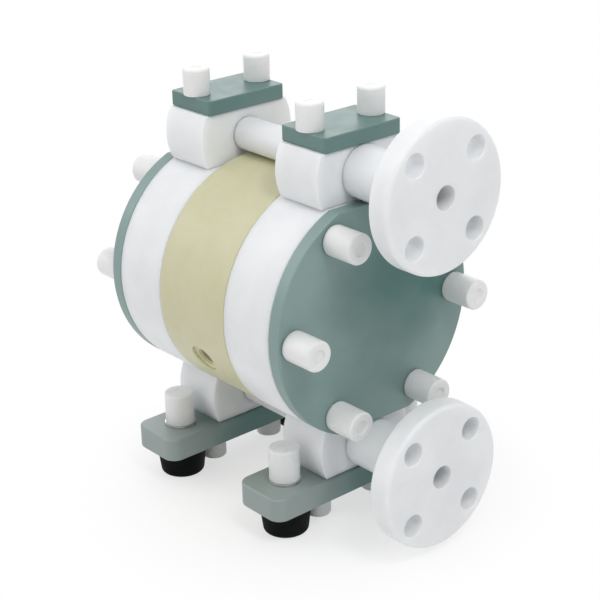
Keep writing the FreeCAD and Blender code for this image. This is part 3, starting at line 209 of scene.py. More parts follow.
class Nodes(NodeWork):
    """The nodes of one material, with the patterns that the finishes share."""

    def __init__(self, name: str) -> None:
        """Start a new material.

        Args:
            name: the material's name.
        """
        self.material = bpy.data.materials.new(name)
        super().__init__(self.material, "Principled BSDF")
        self.coordinates = self.add("TexCoord")

    def placed(self, centre: Vector, stretch: Vector = Vector((1, 1, 1))) -> bpy.types.NodeSocket:
        """Give object coordinates centred on a point and stretched.

        Args:
            centre: the point that becomes the origin.
            stretch: the scale along each axis.

        Returns:
            The vector socket.
        """
        mapping = self.add("Mapping", vector_type="POINT")
        scaled = [-c * s for c, s in zip(centre, stretch)]
        mapping.inputs["Location"].default_value = scaled
        mapping.inputs["Scale"].default_value = stretch
        self.join(self.coordinates.outputs["Object"], mapping.inputs["Vector"])
        return mapping.outputs["Vector"]

    def clouds(self, scale: float, detail: float = 3.0, roughness: float = 0.55,
               vector: bpy.types.NodeSocket | None = None) -> bpy.types.NodeSocket:
        """Give soft noise in object space.

        Args:
            scale: noise cells per metre.
            detail: octaves of the noise.
            roughness: strength of the finer octaves.
            vector: coordinates other than the object's.

        Returns:
            The noise value socket.
        """
        noise = self.add("TexNoise", Scale=scale, Detail=detail, Roughness=roughness)
        self.join(vector or self.coordinates.outputs["Object"], noise.inputs["Vector"])
        return noise.outputs["Fac"]

    def between(self, value: bpy.types.NodeSocket, low: float, high: float,
                start: float = 0.3, end: float = 0.7) -> bpy.types.NodeSocket:
        """Map a value smoothly to a range.

        Args:
            value: the socket to map.
            low: result at start.
            high: result at end.
            start: value that gives low.
            end: value that gives high.

        Returns:
            The mapped socket.
        """
        ramp = self.add("MapRange", interpolation_type="SMOOTHSTEP")
        for key, number in (("From Min", start), ("From Max", end), ("To Min", low), ("To Max", high)):
            ramp.inputs[key].default_value = number
        self.join(value, ramp.inputs["Value"])
        return ramp.outputs["Result"]

    def blend(self, share: bpy.types.NodeSocket, below: Colour | bpy.types.NodeSocket,
              above: Colour) -> bpy.types.NodeSocket:
        """Lay a colour over another.

        Args:
            share: how much of the upper colour shows.
            below: the lower colour, plain or from a socket.
            above: the upper colour.

        Returns:
            The mixed colour socket.
        """
        mix = self.add("Mix", data_type="RGBA")
        lower, upper = [socket for socket in mix.inputs if socket.type == "RGBA"]
        if isinstance(below, bpy.types.NodeSocket):
            self.join(below, lower)
        else:
            lower.default_value = (*below, 1)
        upper.default_value = (*above, 1)
        self.join(share, mix.inputs[0])
        return next(socket for socket in mix.outputs if socket.type == "RGBA")

    def worn_edges(self, width: float) -> bpy.types.NodeSocket:
        """Give a value that is 1 on convex edges, for wear and lighter rims.

        Args:
            width: how far the effect reaches, in metres.

        Returns:
            The edge value socket.
        """
        bevel = self.add("Bevel", samples=4, Radius=width)
        geometry = self.add("NewGeometry")
        likeness = self.worked_out("DOT_PRODUCT", bevel.outputs["Normal"], geometry.outputs["Normal"],
                                   kind="VectorMath")
        return self.between(likeness, low=1.0, high=0.0, start=0.9, end=1.0)

    def bump(self, height: bpy.types.NodeSocket, distance: float, strength: float,
             after: bpy.types.NodeSocket | None = None) -> bpy.types.NodeSocket:
        """Turn a height into a bumped normal.

        Args:
            height: the height socket.
            distance: depth of the relief in metres.
            strength: how strongly it shows.
            after: an earlier bumped normal to build on.

        Returns:
            The normal socket.
        """
        bump = self.add("Bump", Distance=distance, Strength=strength)
        self.join(height, bump.inputs["Height"])
        if after is not None:
            self.join(after, bump.inputs["Normal"])
        return bump.outputs["Normal"]

    def roughen(self, middle: float, scale: float, smoother: float, rougher: float) -> None:
        """Give the surface a roughness that wanders about a value.

        Args:
            middle: the roughness that it wanders about.
            scale: noise cells per metre.
            smoother: how far it goes below.
            rougher: how far it goes above.
        """
        wander = self.between(self.clouds(scale), low=middle - smoother, high=middle + rougher)
        self.join(wander, self.shader.inputs["Roughness"])


@dataclass(frozen=True)
class Finish:
    """A surface finish with a base colour and a roughness."""

    name: str
    colour: Colour
    roughness: float

    def material(self) -> bpy.types.Material:
        """Give the finish's material, made on first use.

        Returns:
            The material.
        """
        found = bpy.data.materials.get(self.name)
        if found is not None:
            return found
        nodes = Nodes(self.name)
        self.dress(nodes)
        nodes.material.diffuse_color = (*self.colour, 1)
        return nodes.material

    def dress(self, nodes: Nodes) -> None:
        """Wire the finish's nodes.

        Args:
            nodes: the material to wire.
        """
        raise NotImplementedError


@dataclass(frozen=True)
class TurnedPlastic(Finish):
    """Machined fluoroplastic: waxy, faintly clouded, with fine tool marks."""

    shade: Colour = (0.70, 0.72, 0.74)
    turned_about: str = "centre_shaft"
    mark_pitch: float = 0.9 * MM
    mark_depth: float = 0.02 * MM
    mark_strength: float = 0.12
    pore_depth: float = 0.04 * MM
    glow: float = 0.8
    glow_tint: Colour = (1.0, 0.95, 0.9)
    glow_depth: float = 8.0 * MM
    ior: float = 1.36

    def dress(self, nodes: Nodes) -> None:
        """Wire clouds of tone, soft light inside, and rings of tool marks.

        Args:
            nodes: the material to wire.
        """
        cloud = nodes.between(nodes.clouds(scale=38, detail=4), low=0.0, high=0.35)
        colour = nodes.blend(cloud, self.colour, self.shade)
        stain = nodes.between(nodes.clouds(scale=130, detail=5, roughness=0.6), low=0.0, high=0.10,
                              start=0.55, end=0.8)
        nodes.join(nodes.blend(stain, colour, self.shade), nodes.shader.inputs["Base Color"])
        nodes.roughen(self.roughness, scale=60, smoother=0.05, rougher=0.08)
        nodes.set(Subsurface_Weight=self.glow, Subsurface_Radius=self.glow_tint,
                  Subsurface_Scale=self.glow_depth, IOR=self.ior)
        place = nodes.placed(axis_of(self.turned_about, Way.ALONG))
        waves = []
        for kind in ("RINGS", "BANDS"):
            wave = nodes.add("TexWave", wave_type=kind, rings_direction="X", bands_direction="X",
                             Scale=WAVE_UNIT / self.mark_pitch, Distortion=0.8, Detail=1.0)
            nodes.join(place, wave.inputs["Vector"])
            waves.append(wave.outputs["Fac"])
        marks = nodes.bump(nodes.worked_out("ADD", *waves), self.mark_depth, self.mark_strength)
        pores = nodes.bump(nodes.clouds(scale=900, detail=2), self.pore_depth, strength=0.10, after=marks)
        nodes.join(pores, nodes.shader.inputs["Normal"])


@dataclass(frozen=True)
class MouldedPlastic(Finish):
    """Injection moulded polypropylene: slightly see-through, silky, unevenly toned."""

    shade: Colour = (0.55, 0.53, 0.33)
    light: Colour = (0.68, 0.67, 0.50)
    glow: float = 0.35
    glow_tint: Colour = (1.0, 0.95, 0.6)
    glow_depth: float = 5.0 * MM
    flow_stretch: Triple = (2.5, 1.0, 1.0)
    grain_depth: float = 0.06 * MM

    def dress(self, nodes: Nodes) -> None:
        """Wire flow clouds, inner light and a silky surface.

        Args:
            nodes: the material to wire.
        """
        along = nodes.placed(Vector(), Vector(self.flow_stretch))
        flow = nodes.between(nodes.clouds(scale=9, roughness=0.5, vector=along), low=0.0, high=0.55)
        colour = nodes.blend(flow, self.colour, self.shade)
        fine = nodes.between(nodes.clouds(scale=70, detail=4), low=0.0, high=0.25)
        nodes.join(nodes.blend(fine, colour, self.light), nodes.shader.inputs["Base Color"])
        nodes.set(Subsurface_Weight=self.glow, Subsurface_Radius=self.glow_tint,
                  Subsurface_Scale=self.glow_depth)
        nodes.roughen(self.roughness, scale=45, smoother=0.06, rougher=0.08)
        grain = nodes.bump(nodes.clouds(scale=520, detail=2), self.grain_depth, strength=0.16)
        nodes.join(grain, nodes.shader.inputs["Normal"])


@dataclass(frozen=True)
class CoatedMetal(Finish):
    """Plate metal under a satin coat, thin on its edges, with painted shade round one place and painted
    light further from it.
    """

    shade: Colour = (0.022, 0.105, 0.094)
    chalk: Colour = (0.225, 0.325, 0.308)
    bare: Colour = (0.40, 0.47, 0.46)
    # Painted shade centres here; on the end plates this is the shadow below the upper flange
    painted_shade_centre: Triple = (0.0, 18.0 * MM, 165.0 * MM)
    painted_light_start: float = 10.0 * MM
    chalk_end: float = 74.0 * MM
    painted_light_wander: float = 8.0 * MM
    painted_light_share: float = 0.85
    least_wear: float = 0.15
    wear: float = 0.45
    wear_reach: float = 1.0 * MM
    peel_depth: float = 0.04 * MM
    dust_depth: float = 0.02 * MM
    ior: float = 1.65

    def dress(self, nodes: Nodes) -> None:
        """Wire the coat's mottling, its painted shade and painted light, its orange peel and its lighter
        edges.

        Args:
            nodes: the material to wire.
        """
        mottle = nodes.between(nodes.clouds(scale=16, roughness=0.45), low=0.0, high=0.30,
                               start=0.35, end=0.65)
        colour = nodes.blend(mottle, self.colour, self.shade)
        # Painted shade and light: the coat is darker round the shade centre and paler away from it, standing
        # in for the shadow there and the light elsewhere
        place = nodes.placed(Vector(self.painted_shade_centre), Vector((0, 1, 1)))
        away = nodes.worked_out("LENGTH", place, kind="VectorMath")
        wander = nodes.between(nodes.clouds(scale=18), low=-self.painted_light_wander, high=self.painted_light_wander)
        chalk = nodes.between(nodes.worked_out("ADD", away, wander), low=0.0, high=self.painted_light_share,
                              start=self.painted_light_start, end=self.chalk_end)
        colour = nodes.blend(chalk, colour, self.chalk)
        patchy = nodes.between(nodes.clouds(scale=160, detail=4), low=self.least_wear, high=self.wear)
        edge = nodes.worked_out("MULTIPLY", nodes.worn_edges(self.wear_reach), patchy)
        nodes.join(nodes.blend(edge, colour, self.bare), nodes.shader.inputs["Base Color"])
        nodes.roughen(self.roughness, scale=80, smoother=0.03, rougher=0.05)
        nodes.set(IOR=self.ior)
        peel = nodes.bump(nodes.clouds(scale=420, detail=2), self.peel_depth, strength=0.25)
        dust = nodes.bump(nodes.clouds(scale=1500, detail=2), self.dust_depth, strength=0.2, after=peel)
        nodes.join(dust, nodes.shader.inputs["Normal"])


@dataclass(frozen=True)
class BareSteel(Finish):
    """Stainless steel with fine turning lines."""

    smudge: float = 0.78
    line_depth: float = 0.02 * MM
    line_stretch: Triple = (2600.0, 60.0, 60.0)

    def dress(self, nodes: Nodes) -> None:
        """Wire the metal, its smudges and its lines.

        Args:
            nodes: the material to wire.
        """
        dull = tuple(channel * self.smudge for channel in self.colour)
        smudges = nodes.between(nodes.clouds(scale=120, detail=4), low=0.0, high=0.7)
        nodes.join(nodes.blend(smudges, self.colour, dull), nodes.shader.inputs["Base Color"])
        nodes.set(Metallic=1.0)
        nodes.roughen(self.roughness, scale=90, smoother=0.07, rougher=0.1)
        around = nodes.placed(Vector(), Vector(self.line_stretch))
        lines = nodes.clouds(scale=1, detail=2, roughness=0.5, vector=around)
        turned_lines = nodes.bump(lines, self.line_depth, strength=0.25)
        nodes.join(turned_lines, nodes.shader.inputs["Normal"])


@dataclass(frozen=True)
class MouldedRubber(Finish):
    """Black rubber, matt and dusty, with a fine moulded grain."""

    dust: Colour = (0.010, 0.010, 0.010)
    sheen: float = 0.08
    grain_depth: float = 0.05 * MM

    def dress(self, nodes: Nodes) -> None:
        """Wire the grain, the dust and the matt surface.

        Args:
            nodes: the material to wire.
        """
        dusty = nodes.between(nodes.clouds(scale=110, detail=5), low=0.0, high=0.5, start=0.45, end=0.8)
        nodes.join(nodes.blend(dusty, self.colour, self.dust), nodes.shader.inputs["Base Color"])
        nodes.set(Specular_IOR_Level=self.sheen)
        nodes.roughen(self.roughness, scale=75, smoother=0.08, rougher=0.08)
        grain = nodes.bump(nodes.clouds(scale=1300, detail=2), self.grain_depth, strength=0.4)
        nodes.join(grain, nodes.shader.inputs["Normal"])


# Mesh work


@dataclass
class Corner:
    """A corner of an outline, with the rounding it gets."""

    along: float
    out: float
    rounding: float = 0.0
    segments: int = 1


def in_scene(name: str, data: bpy.types.ID) -> bpy.types.Object:
    """Put a mesh, a light or a camera in the scene.

    Args:
        name: the object's name.
        data: what it shows.

    Returns:
        The new object.
    """
    made = bpy.data.objects.new(name, data)
    bpy.context.scene.collection.objects.link(made)
    return made


def as_object(name: str, bm: bmesh.types.BMesh) -> bpy.types.Object:
    """Put a bmesh in the scene.

    Args:
        name: the name of the object and its mesh.
        bm: the bmesh, which is used up.

    Returns:
        The new object.
    """
    mesh = bpy.data.meshes.new(name)
    bm.to_mesh(mesh)
    bm.free()
    return in_scene(name, mesh)


def bevel_options(offset: float, segments: int) -> dict[str, object]:
    """Give the options that every bevel here shares.

    Args:
        offset: distance of the bevel from its corner or edge.
        segments: faces across the bevel.

    Returns:
        Keyword arguments for bmesh.ops.bevel.
    """
    return {"offset": offset, "offset_type": "OFFSET", "segments": segments, "profile": 0.5,
            "material": -1, "clamp_overlap": True}


def outline(corners: Sequence[Corner], closed: bool) -> bmesh.types.BMesh:
    """Draw an outline in the XZ plane and round its corners.

    Args:
        corners: the corners in order.
        closed: whether the last corner joins the first.

    Returns:
        A bmesh that holds the outline's edges.
    """
    bm = bmesh.new()
    verts = [bm.verts.new((corner.along, 0, corner.out)) for corner in corners]
    for index in range(len(verts) - (0 if closed else 1)):
        bm.edges.new((verts[index], verts[(index + 1) % len(verts)]))
    for vert, corner in zip(verts, corners):
        if corner.rounding > 0:
            bmesh.ops.bevel(bm, geom=[vert], affect="VERTICES",
                            **bevel_options(corner.rounding, corner.segments))
    return bm


def turned(corners: Sequence[Corner], way: Way, centre: Vector, steps: int = ROUND_STEPS,
           closed: bool = False) -> bmesh.types.BMesh:
    """Turn an outline into a round solid.

    Args:
        corners: places along the axis and out from it, closing on the axis unless closed.
        way: the axis to turn about.
        centre: a point on that axis; places along it count from here.
        steps: faces round the axis.
        closed: whether the outline closes on itself, as on a ring or tube.

    Returns:
        The solid's bmesh.
    """
    bm = outline(corners, closed)
    bmesh.ops.spin(bm, geom=bm.verts[:] + bm.edges[:], cent=(0, 0, 0), axis=(1, 0, 0), angle=math.tau,
                   steps=steps, use_merge=True, use_duplicate=False)
    bmesh.ops.remove_doubles(bm, verts=bm.verts[:], dist=WELD)
    if way is Way.UP:
        bmesh.ops.transform(bm, matrix=Matrix.Rotation(-math.pi / 2, 4, "Y"), verts=bm.verts[:])
    bmesh.ops.translate(bm, verts=bm.verts[:], vec=centre)
    bmesh.ops.recalc_face_normals(bm, faces=bm.faces[:])
    return bm


def bevel_edges(bm: bmesh.types.BMesh, test: Callable[[bmesh.types.BMEdge], bool], offset: float,
                segments: int) -> None:
    """Bevel the edges that pass a test.

    Args:
        bm: the solid.
        test: tells whether an edge is bevelled.
        offset: distance of the bevel from the edge.
        segments: faces across the bevel.
    """
    edges = [edge for edge in bm.edges if test(edge)]
    bmesh.ops.bevel(bm, geom=edges, affect="EDGES", **bevel_options(offset, segments))


def level_along(axis: int) -> Callable[[bmesh.types.BMEdge], bool]:
    """Make a test for edges that lie square to an axis.

    Args:
        axis: 0, 1 or 2 for X, Y or Z.

    Returns:
        The test.
    """
    return lambda edge: abs(edge.verts[0].co[axis] - edge.verts[1].co[axis]) < FLAT


def disc(node: str, rounding: float, segments: int, flats: bool = True) -> bmesh.types.BMesh:
    """Make a round disc about X, cut flat below and above to its node's box.

    Args:
        node: the CAD node whose box it fills; its depth gives the diameter.
        rounding: rounding of both rims.
        segments: faces across that rounding.
        flats: whether it is cut flat.

    Returns:
        The disc's bmesh.
    """
    low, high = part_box(node)
    centre = (low + high) / 2
    bm = bmesh.new()
    upright = Matrix.Translation((low.x, centre.y, centre.z)) @ Matrix.Rotation(math.pi / 2, 4, "Y")
    bmesh.ops.create_circle(bm, cap_ends=True, segments=ROUND_STEPS, radius=radius_of(node),
                            matrix=upright)
    for level, facing in ((low.z, -1.0), (high.z, 1.0)) if flats else ():
        bmesh.ops.bisect_plane(bm, geom=bm.verts[:] + bm.edges[:] + bm.faces[:], dist=FLAT,
                               plane_co=(0, 0, level), plane_no=(0, 0, facing), clear_outer=True)
    grown = bmesh.ops.extrude_face_region(bm, geom=bm.faces[:])
    moved = [item for item in grown["geom"] if isinstance(item, bmesh.types.BMVert)]
    bmesh.ops.translate(bm, verts=moved, vec=(high.x - low.x, 0, 0))
    bevel_edges(bm, level_along(0), rounding, segments)
    bmesh.ops.recalc_face_normals(bm, faces=bm.faces[:])
    return bm


def merged(parts: Iterable[bmesh.types.BMesh]) -> bmesh.types.BMesh:
    """Put several solids in one bmesh.

    Args:
        parts: the solids, which are used up.

    Returns:
        One bmesh with them all.
    """
    whole = bmesh.new()
    for part in parts:
        mesh = bpy.data.meshes.new("part")
        part.to_mesh(mesh)
        part.free()
        whole.from_mesh(mesh)
        bpy.data.meshes.remove(mesh)
    return whole


def carved(bm: bmesh.types.BMesh, cutters: Iterable[bmesh.types.BMesh]) -> bmesh.types.BMesh:
    """Cut solids out of another, one after the other.

    Args:
        bm: the solid to cut, which is used up.
        cutters: the solids to take away, which are used up.

    Returns:
        What is left.
    """
    target, *tools = [as_object("carving", source) for source in (bm, *cutters)]
    for tool in tools:
        cut = target.modifiers.new("cut", "BOOLEAN")
        cut.operation = "DIFFERENCE"
        cut.solver = "EXACT"
        cut.object = tool
    bpy.context.view_layer.update()
    evaluated = target.evaluated_get(bpy.context.evaluated_depsgraph_get())
    result = bmesh.new()
    result.from_mesh(evaluated.to_mesh())
    evaluated.to_mesh_clear()
    for item in (target, *tools):
        mesh = item.data
        bpy.data.objects.remove(item)
        bpy.data.meshes.remove(mesh)
    bmesh.ops.remove_doubles(result, verts=result.verts[:], dist=WELD)
    bmesh.ops.dissolve_degenerate(result, edges=result.edges[:], dist=FLAT)
    return result


@dataclass(frozen=True)
class Bore:
    """A round hole in one or more widths; each step gives where its radius starts."""

    way: Way
    centre: Vector
    steps: tuple[tuple[float, float], ...]
    end: float

    def cutter(self) -> bmesh.types.BMesh:
        """Make the solid that the hole takes away.

        Returns:
            One turned solid.
        """
        ends = [start for start, _ in self.steps[1:]] + [self.end]
        corners = [Corner(self.steps[0][0], 0)]
        for (start, radius), stop in zip(self.steps, ends):
            corners += [Corner(start, radius), Corner(stop, radius)]
        return turned([*corners, Corner(self.end, 0)], self.way, self.centre, SMALL_STEPS)


def axis_of(node: str, way: Way) -> Vector:
    """Give the axis through the middle of a node's box.

    Args:
        node: the CAD node.
        way: the direction of the axis.

    Returns:
        A point on the axis, at nought along it.
    """
    low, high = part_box(node)
    centre = (low + high) / 2
    return centre - way.value * centre.dot(way.value)


def radius_of(node: str) -> float:
    """Give half the depth of a node's box along Y.

    Args:
        node: the CAD node.

    Returns:
        The radius in metres.
    """
    low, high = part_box(node)
    return (high.y - low.y) / 2


def piece(name: str, bm: bmesh.types.BMesh, finish: Finish, slot: str, *nodes: str,
          bend: tuple[Vector, Vector] | None = None) -> None:
    """Make a finished piece that stands for CAD nodes.

    Args:
        name: the piece's name.
        bm: its mesh, which is used up.
        finish: its surface finish.
        slot: the record's material slot; not used.
        nodes: the CAD nodes that it replaces.
        bend: where the piece starts to leave the shaft and where it is held still, if it flexes; only
            whether it is given is read, and a piece with it stays unattached to the body.
    """
    made = as_object(name, bm)
    mesh = made.data
    mesh.polygons.foreach_set("use_smooth", [True] * len(mesh.polygons))
    mesh.set_sharp_from_angle(angle=CREASE)
    mesh.materials.append(finish.material())
    weighted = made.modifiers.new("even shading", "WEIGHTED_NORMAL")
    weighted.keep_sharp = True
    if bend is None:
        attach(made, BODY)
    else:
        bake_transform(made)
    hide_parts(*nodes)
    LOG.info("%s: %d faces", name, len(mesh.polygons))


# Finishes of this pump

WHITE: Colour = (0.84, 0.852, 0.865)

CHAMBER_WHITE = TurnedPlastic("Turned white, chambers", WHITE, roughness=0.36)
DISCHARGE_WHITE = TurnedPlastic("Turned white, discharge side", WHITE, roughness=0.36,
                                turned_about="discharge_link_tube")
SUCTION_WHITE = TurnedPlastic("Turned white, suction side", WHITE, roughness=0.36,
                              turned_about="suction_link_tube")
NUT_WHITE = TurnedPlastic("Moulded white caps", (0.82, 0.82, 0.81), roughness=0.30, mark_strength=0.0,
                          glow=0.35)
BEIGE = MouldedPlastic("Beige moulding", (0.60, 0.58, 0.38), roughness=0.38)
PLATE_GREEN = CoatedMetal("Grey-green coat, end plates", (0.036, 0.155, 0.138), roughness=0.38)
# Painted light: the end plates' coat, painted paler for the light that falls on the upper plates' tops
CLAMP_GREEN = CoatedMetal("Grey-green coat, upper plates", (0.100, 0.195, 0.182), roughness=0.36,
                          painted_light_share=0.0)
# Painted light and shade: a slightly paler copy of the coat, with painted shade at the far ends under the
# body and painted light towards the front
FOOT_GREEN = CoatedMetal("Grey-green coat, foot plates", (0.050, 0.150, 0.136), roughness=0.40,
                         chalk=(0.290, 0.335, 0.324), painted_shade_centre=(0.0, 76.0 * MM, 28.0 * MM),
                         painted_light_start=70.0 * MM, chalk_end=140.0 * MM)
STEEL = BareSteel("Stainless steel", (0.60, 0.61, 0.61), roughness=0.28)
BOLT_STEEL = BareSteel("Dull bolt steel", (0.34, 0.34, 0.33), roughness=0.42)
FOOT_RUBBER = MouldedRubber("Foot rubber", (0.003, 0.004, 0.004), roughness=0.66)
SEAL_RUBBER = MouldedRubber("Seal rubber", (0.016, 0.016, 0.017), roughness=0.40)
MEMBRANE = TurnedPlastic("Diaphragm white", (0.72, 0.72, 0.68), roughness=0.45, glow=0.2)
SLOT_FINISHES: dict[str, Finish] = {
    "ptfe_white": CHAMBER_WHITE, "body_beige": BEIGE, "plate_green": PLATE_GREEN, "steel": STEEL,
    "bolt_grey": BOLT_STEEL, "foot_rubber": FOOT_RUBBER, "seal_rubber": SEAL_RUBBER,
    "diaphragm_ptfe": MEMBRANE,
}


# Sub-assemblies

WAY_RADIUS = 7.0 * MM
VALVE_CLEARANCE = 0.2 * MM
DIAPHRAGM_THICKNESS = 3.0 * MM
CLAMPED_RADIUS = 50.0 * MM
END_NUT_COUNT = 6


@dataclass
class CentreBody:
    """The moulded middle section, with its air chambers and its two air ports."""

    edge_round: float = 1.2 * MM
    air_floor: float = 46.0 * MM
    air_depth: float = 12.5 * MM
    bush_wall: float = 3.5 * MM
    bore_clearance: float = 0.05 * MM
    bore_inset: float = 2.0 * MM
    port_angles: tuple[float, float] = (-27.0, -153.0)
    spot_radius: float = 10.5 * MM
    spot_floor: float = 77.5 * MM
    flare_start: float = 79.0 * MM
    flare: float = 5.0 * MM
    thread_crest: float = 5.72 * MM
    thread_root: float = 6.58 * MM
    thread_pitch: float = 1.337 * MM
    thread_turns: int = 10
    drill_radius: float = 3.0 * MM
    drill_depth: float = 12.0 * MM

    def port_cutter(self, angle: float, middle: Vector) -> bmesh.types.BMesh:
        """Make the solid that an air port takes away.

        Args:
            angle: direction of the port about the shaft, in degrees from +Y.
            middle: the point of the shaft's axis that the port aims at.

        Returns:
            The cutter's bmesh.
        """
        foot = self.spot_floor - self.thread_turns * self.thread_pitch
        bottom, mouth = foot - self.drill_depth, self.flare_start + self.flare
        corners = [Corner(bottom, 0), Corner(bottom, self.drill_radius), Corner(foot, self.drill_radius)]
        for groove in range(self.thread_turns):
            start = foot + groove * self.thread_pitch
            corners += [Corner(start, self.thread_crest),
                        Corner(start + self.thread_pitch / 2, self.thread_root)]
        corners += [Corner(self.spot_floor, self.thread_root), Corner(self.spot_floor, self.spot_radius),
                    Corner(self.flare_start, self.spot_radius),
                    Corner(mouth, self.spot_radius + self.flare), Corner(mouth, 0)]
        bm = turned(corners, Way.ALONG, Vector(), SMALL_STEPS)
        turn = math.radians(angle)
        aim = Vector((0, math.cos(turn), math.sin(turn)))
        spin = Way.ALONG.value.rotation_difference(aim).to_matrix().to_4x4()
        bmesh.ops.transform(bm, matrix=Matrix.Translation(middle) @ spin, verts=bm.verts[:])
        return bm

    def build(self) -> None:
        """Make the body with its chambers, bores and ports."""
        low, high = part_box("centre_body")
        axis = axis_of("centre_shaft", Way.ALONG)
        middle = axis + Way.ALONG.value * (low.x + high.x) / 2
        outer = disc("centre_body", self.edge_round, segments=5, flats=False)
        cutters = []
        for face, inward in ((low.x, 1), (high.x, -1)):
            outside, floor = face - inward * OVERCUT, face + inward * self.air_depth
            corners = [Corner(outside, 0), Corner(outside, CLAMPED_RADIUS), Corner(face, CLAMPED_RADIUS),
                       Corner(floor, self.air_floor), Corner(floor, 0)]
            cutters.append(turned(corners, Way.ALONG, axis))
        radii = {"guide_bushes": radius_of("centre_shaft") + self.bush_wall,
                 "spool_sleeve": radius_of("spool_sleeve"), "pilot_pin": radius_of("pilot_pin")}
        for node, radius in radii.items():
            steps = ((low.x + self.bore_inset, radius + self.bore_clearance),)
            bore = Bore(Way.ALONG, axis_of(node, Way.ALONG), steps, high.x - self.bore_inset)
            cutters.append(bore.cutter())
        cutters += [self.port_cutter(angle, middle) for angle in self.port_angles]
        piece("middle_section", carved(outer, cutters), BEIGE, "body_beige", "centre_body")


@dataclass
class LiquidChamber:
    """A white liquid chamber with its end plate and the nuts that hold it."""

    side: Side
    edge_round: float = 1.2 * MM
    plate_chamfer: float = 0.8 * MM
    cavity_floor: float = 40.0 * MM
    cavity_depth: float = 22.5 * MM
    cavity_round: float = 5.0 * MM
    nut_radius: float = 9.8 * MM
    nut_tip_round: float = 1.6 * MM
    gate_radius: float = 4.0 * MM
    gate_depth: float = 1.2 * MM

    def cavity(self) -> list[bmesh.types.BMesh]:
        """Make the solids that the chamber's hollows take away.

        Returns:
            The diaphragm's recess with the liquid space, and the upright way with its valve pockets.
        """
        word = self.side.word
        low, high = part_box(f"chamber_{word}")
        inner, sign = self.side.faces(f"chamber_{word}")[0], self.side.value
        outside, recess = inner - sign * OVERCUT, inner + sign * DIAPHRAGM_THICKNESS
        floor = inner + sign * self.cavity_depth
        rim = radius_of(f"diaphragm_{word}")
        corners = [Corner(outside, 0), Corner(outside, rim), Corner(recess, rim),
                   Corner(recess, CLAMPED_RADIUS), Corner(floor, self.cavity_floor, self.cavity_round, 6),
                   Corner(floor, 0)]
        seat, cage = f"discharge_seat_{word}", f"suction_cage_{word}"
        upright = axis_of(seat, Way.UP)
        seat_floor, cage_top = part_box(seat)[0].z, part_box(cage)[1].z
        steps = ((low.z - OVERCUT, radius_of(cage) + VALVE_CLEARANCE), (cage_top, WAY_RADIUS),
                 (seat_floor, radius_of(seat)))
        return [turned(corners, Way.ALONG, axis_of("centre_shaft", Way.ALONG)),
                Bore(Way.UP, upright, steps, high.z + OVERCUT).cutter()]

    def build(self) -> None:
        """Make the chamber, the end plate and its nuts."""
        word = self.side.word
        shell = disc(f"chamber_{word}", self.edge_round, segments=5)
        piece(f"liquid_chamber_{word}", carved(shell, self.cavity()), CHAMBER_WHITE, "ptfe_white",
              f"chamber_{word}")
        cover = disc(f"end_plate_{word}", self.plate_chamfer, segments=3)
        piece(f"cover_plate_{word}", cover, PLATE_GREEN, "plate_green", f"end_plate_{word}")
        node = f"end_cap_nuts_{word}"
        base, tip = self.side.faces(node)
        nuts = CapNuts(node, Way.ALONG, base, tip, self.nut_radius, self.nut_tip_round,
                       gate_radius=self.gate_radius, gate_depth=self.gate_depth)
        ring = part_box(node)[1].y - self.nut_radius
        nuts.build(round_places(axis_of("centre_shaft", Way.ALONG), ring, END_NUT_COUNT))


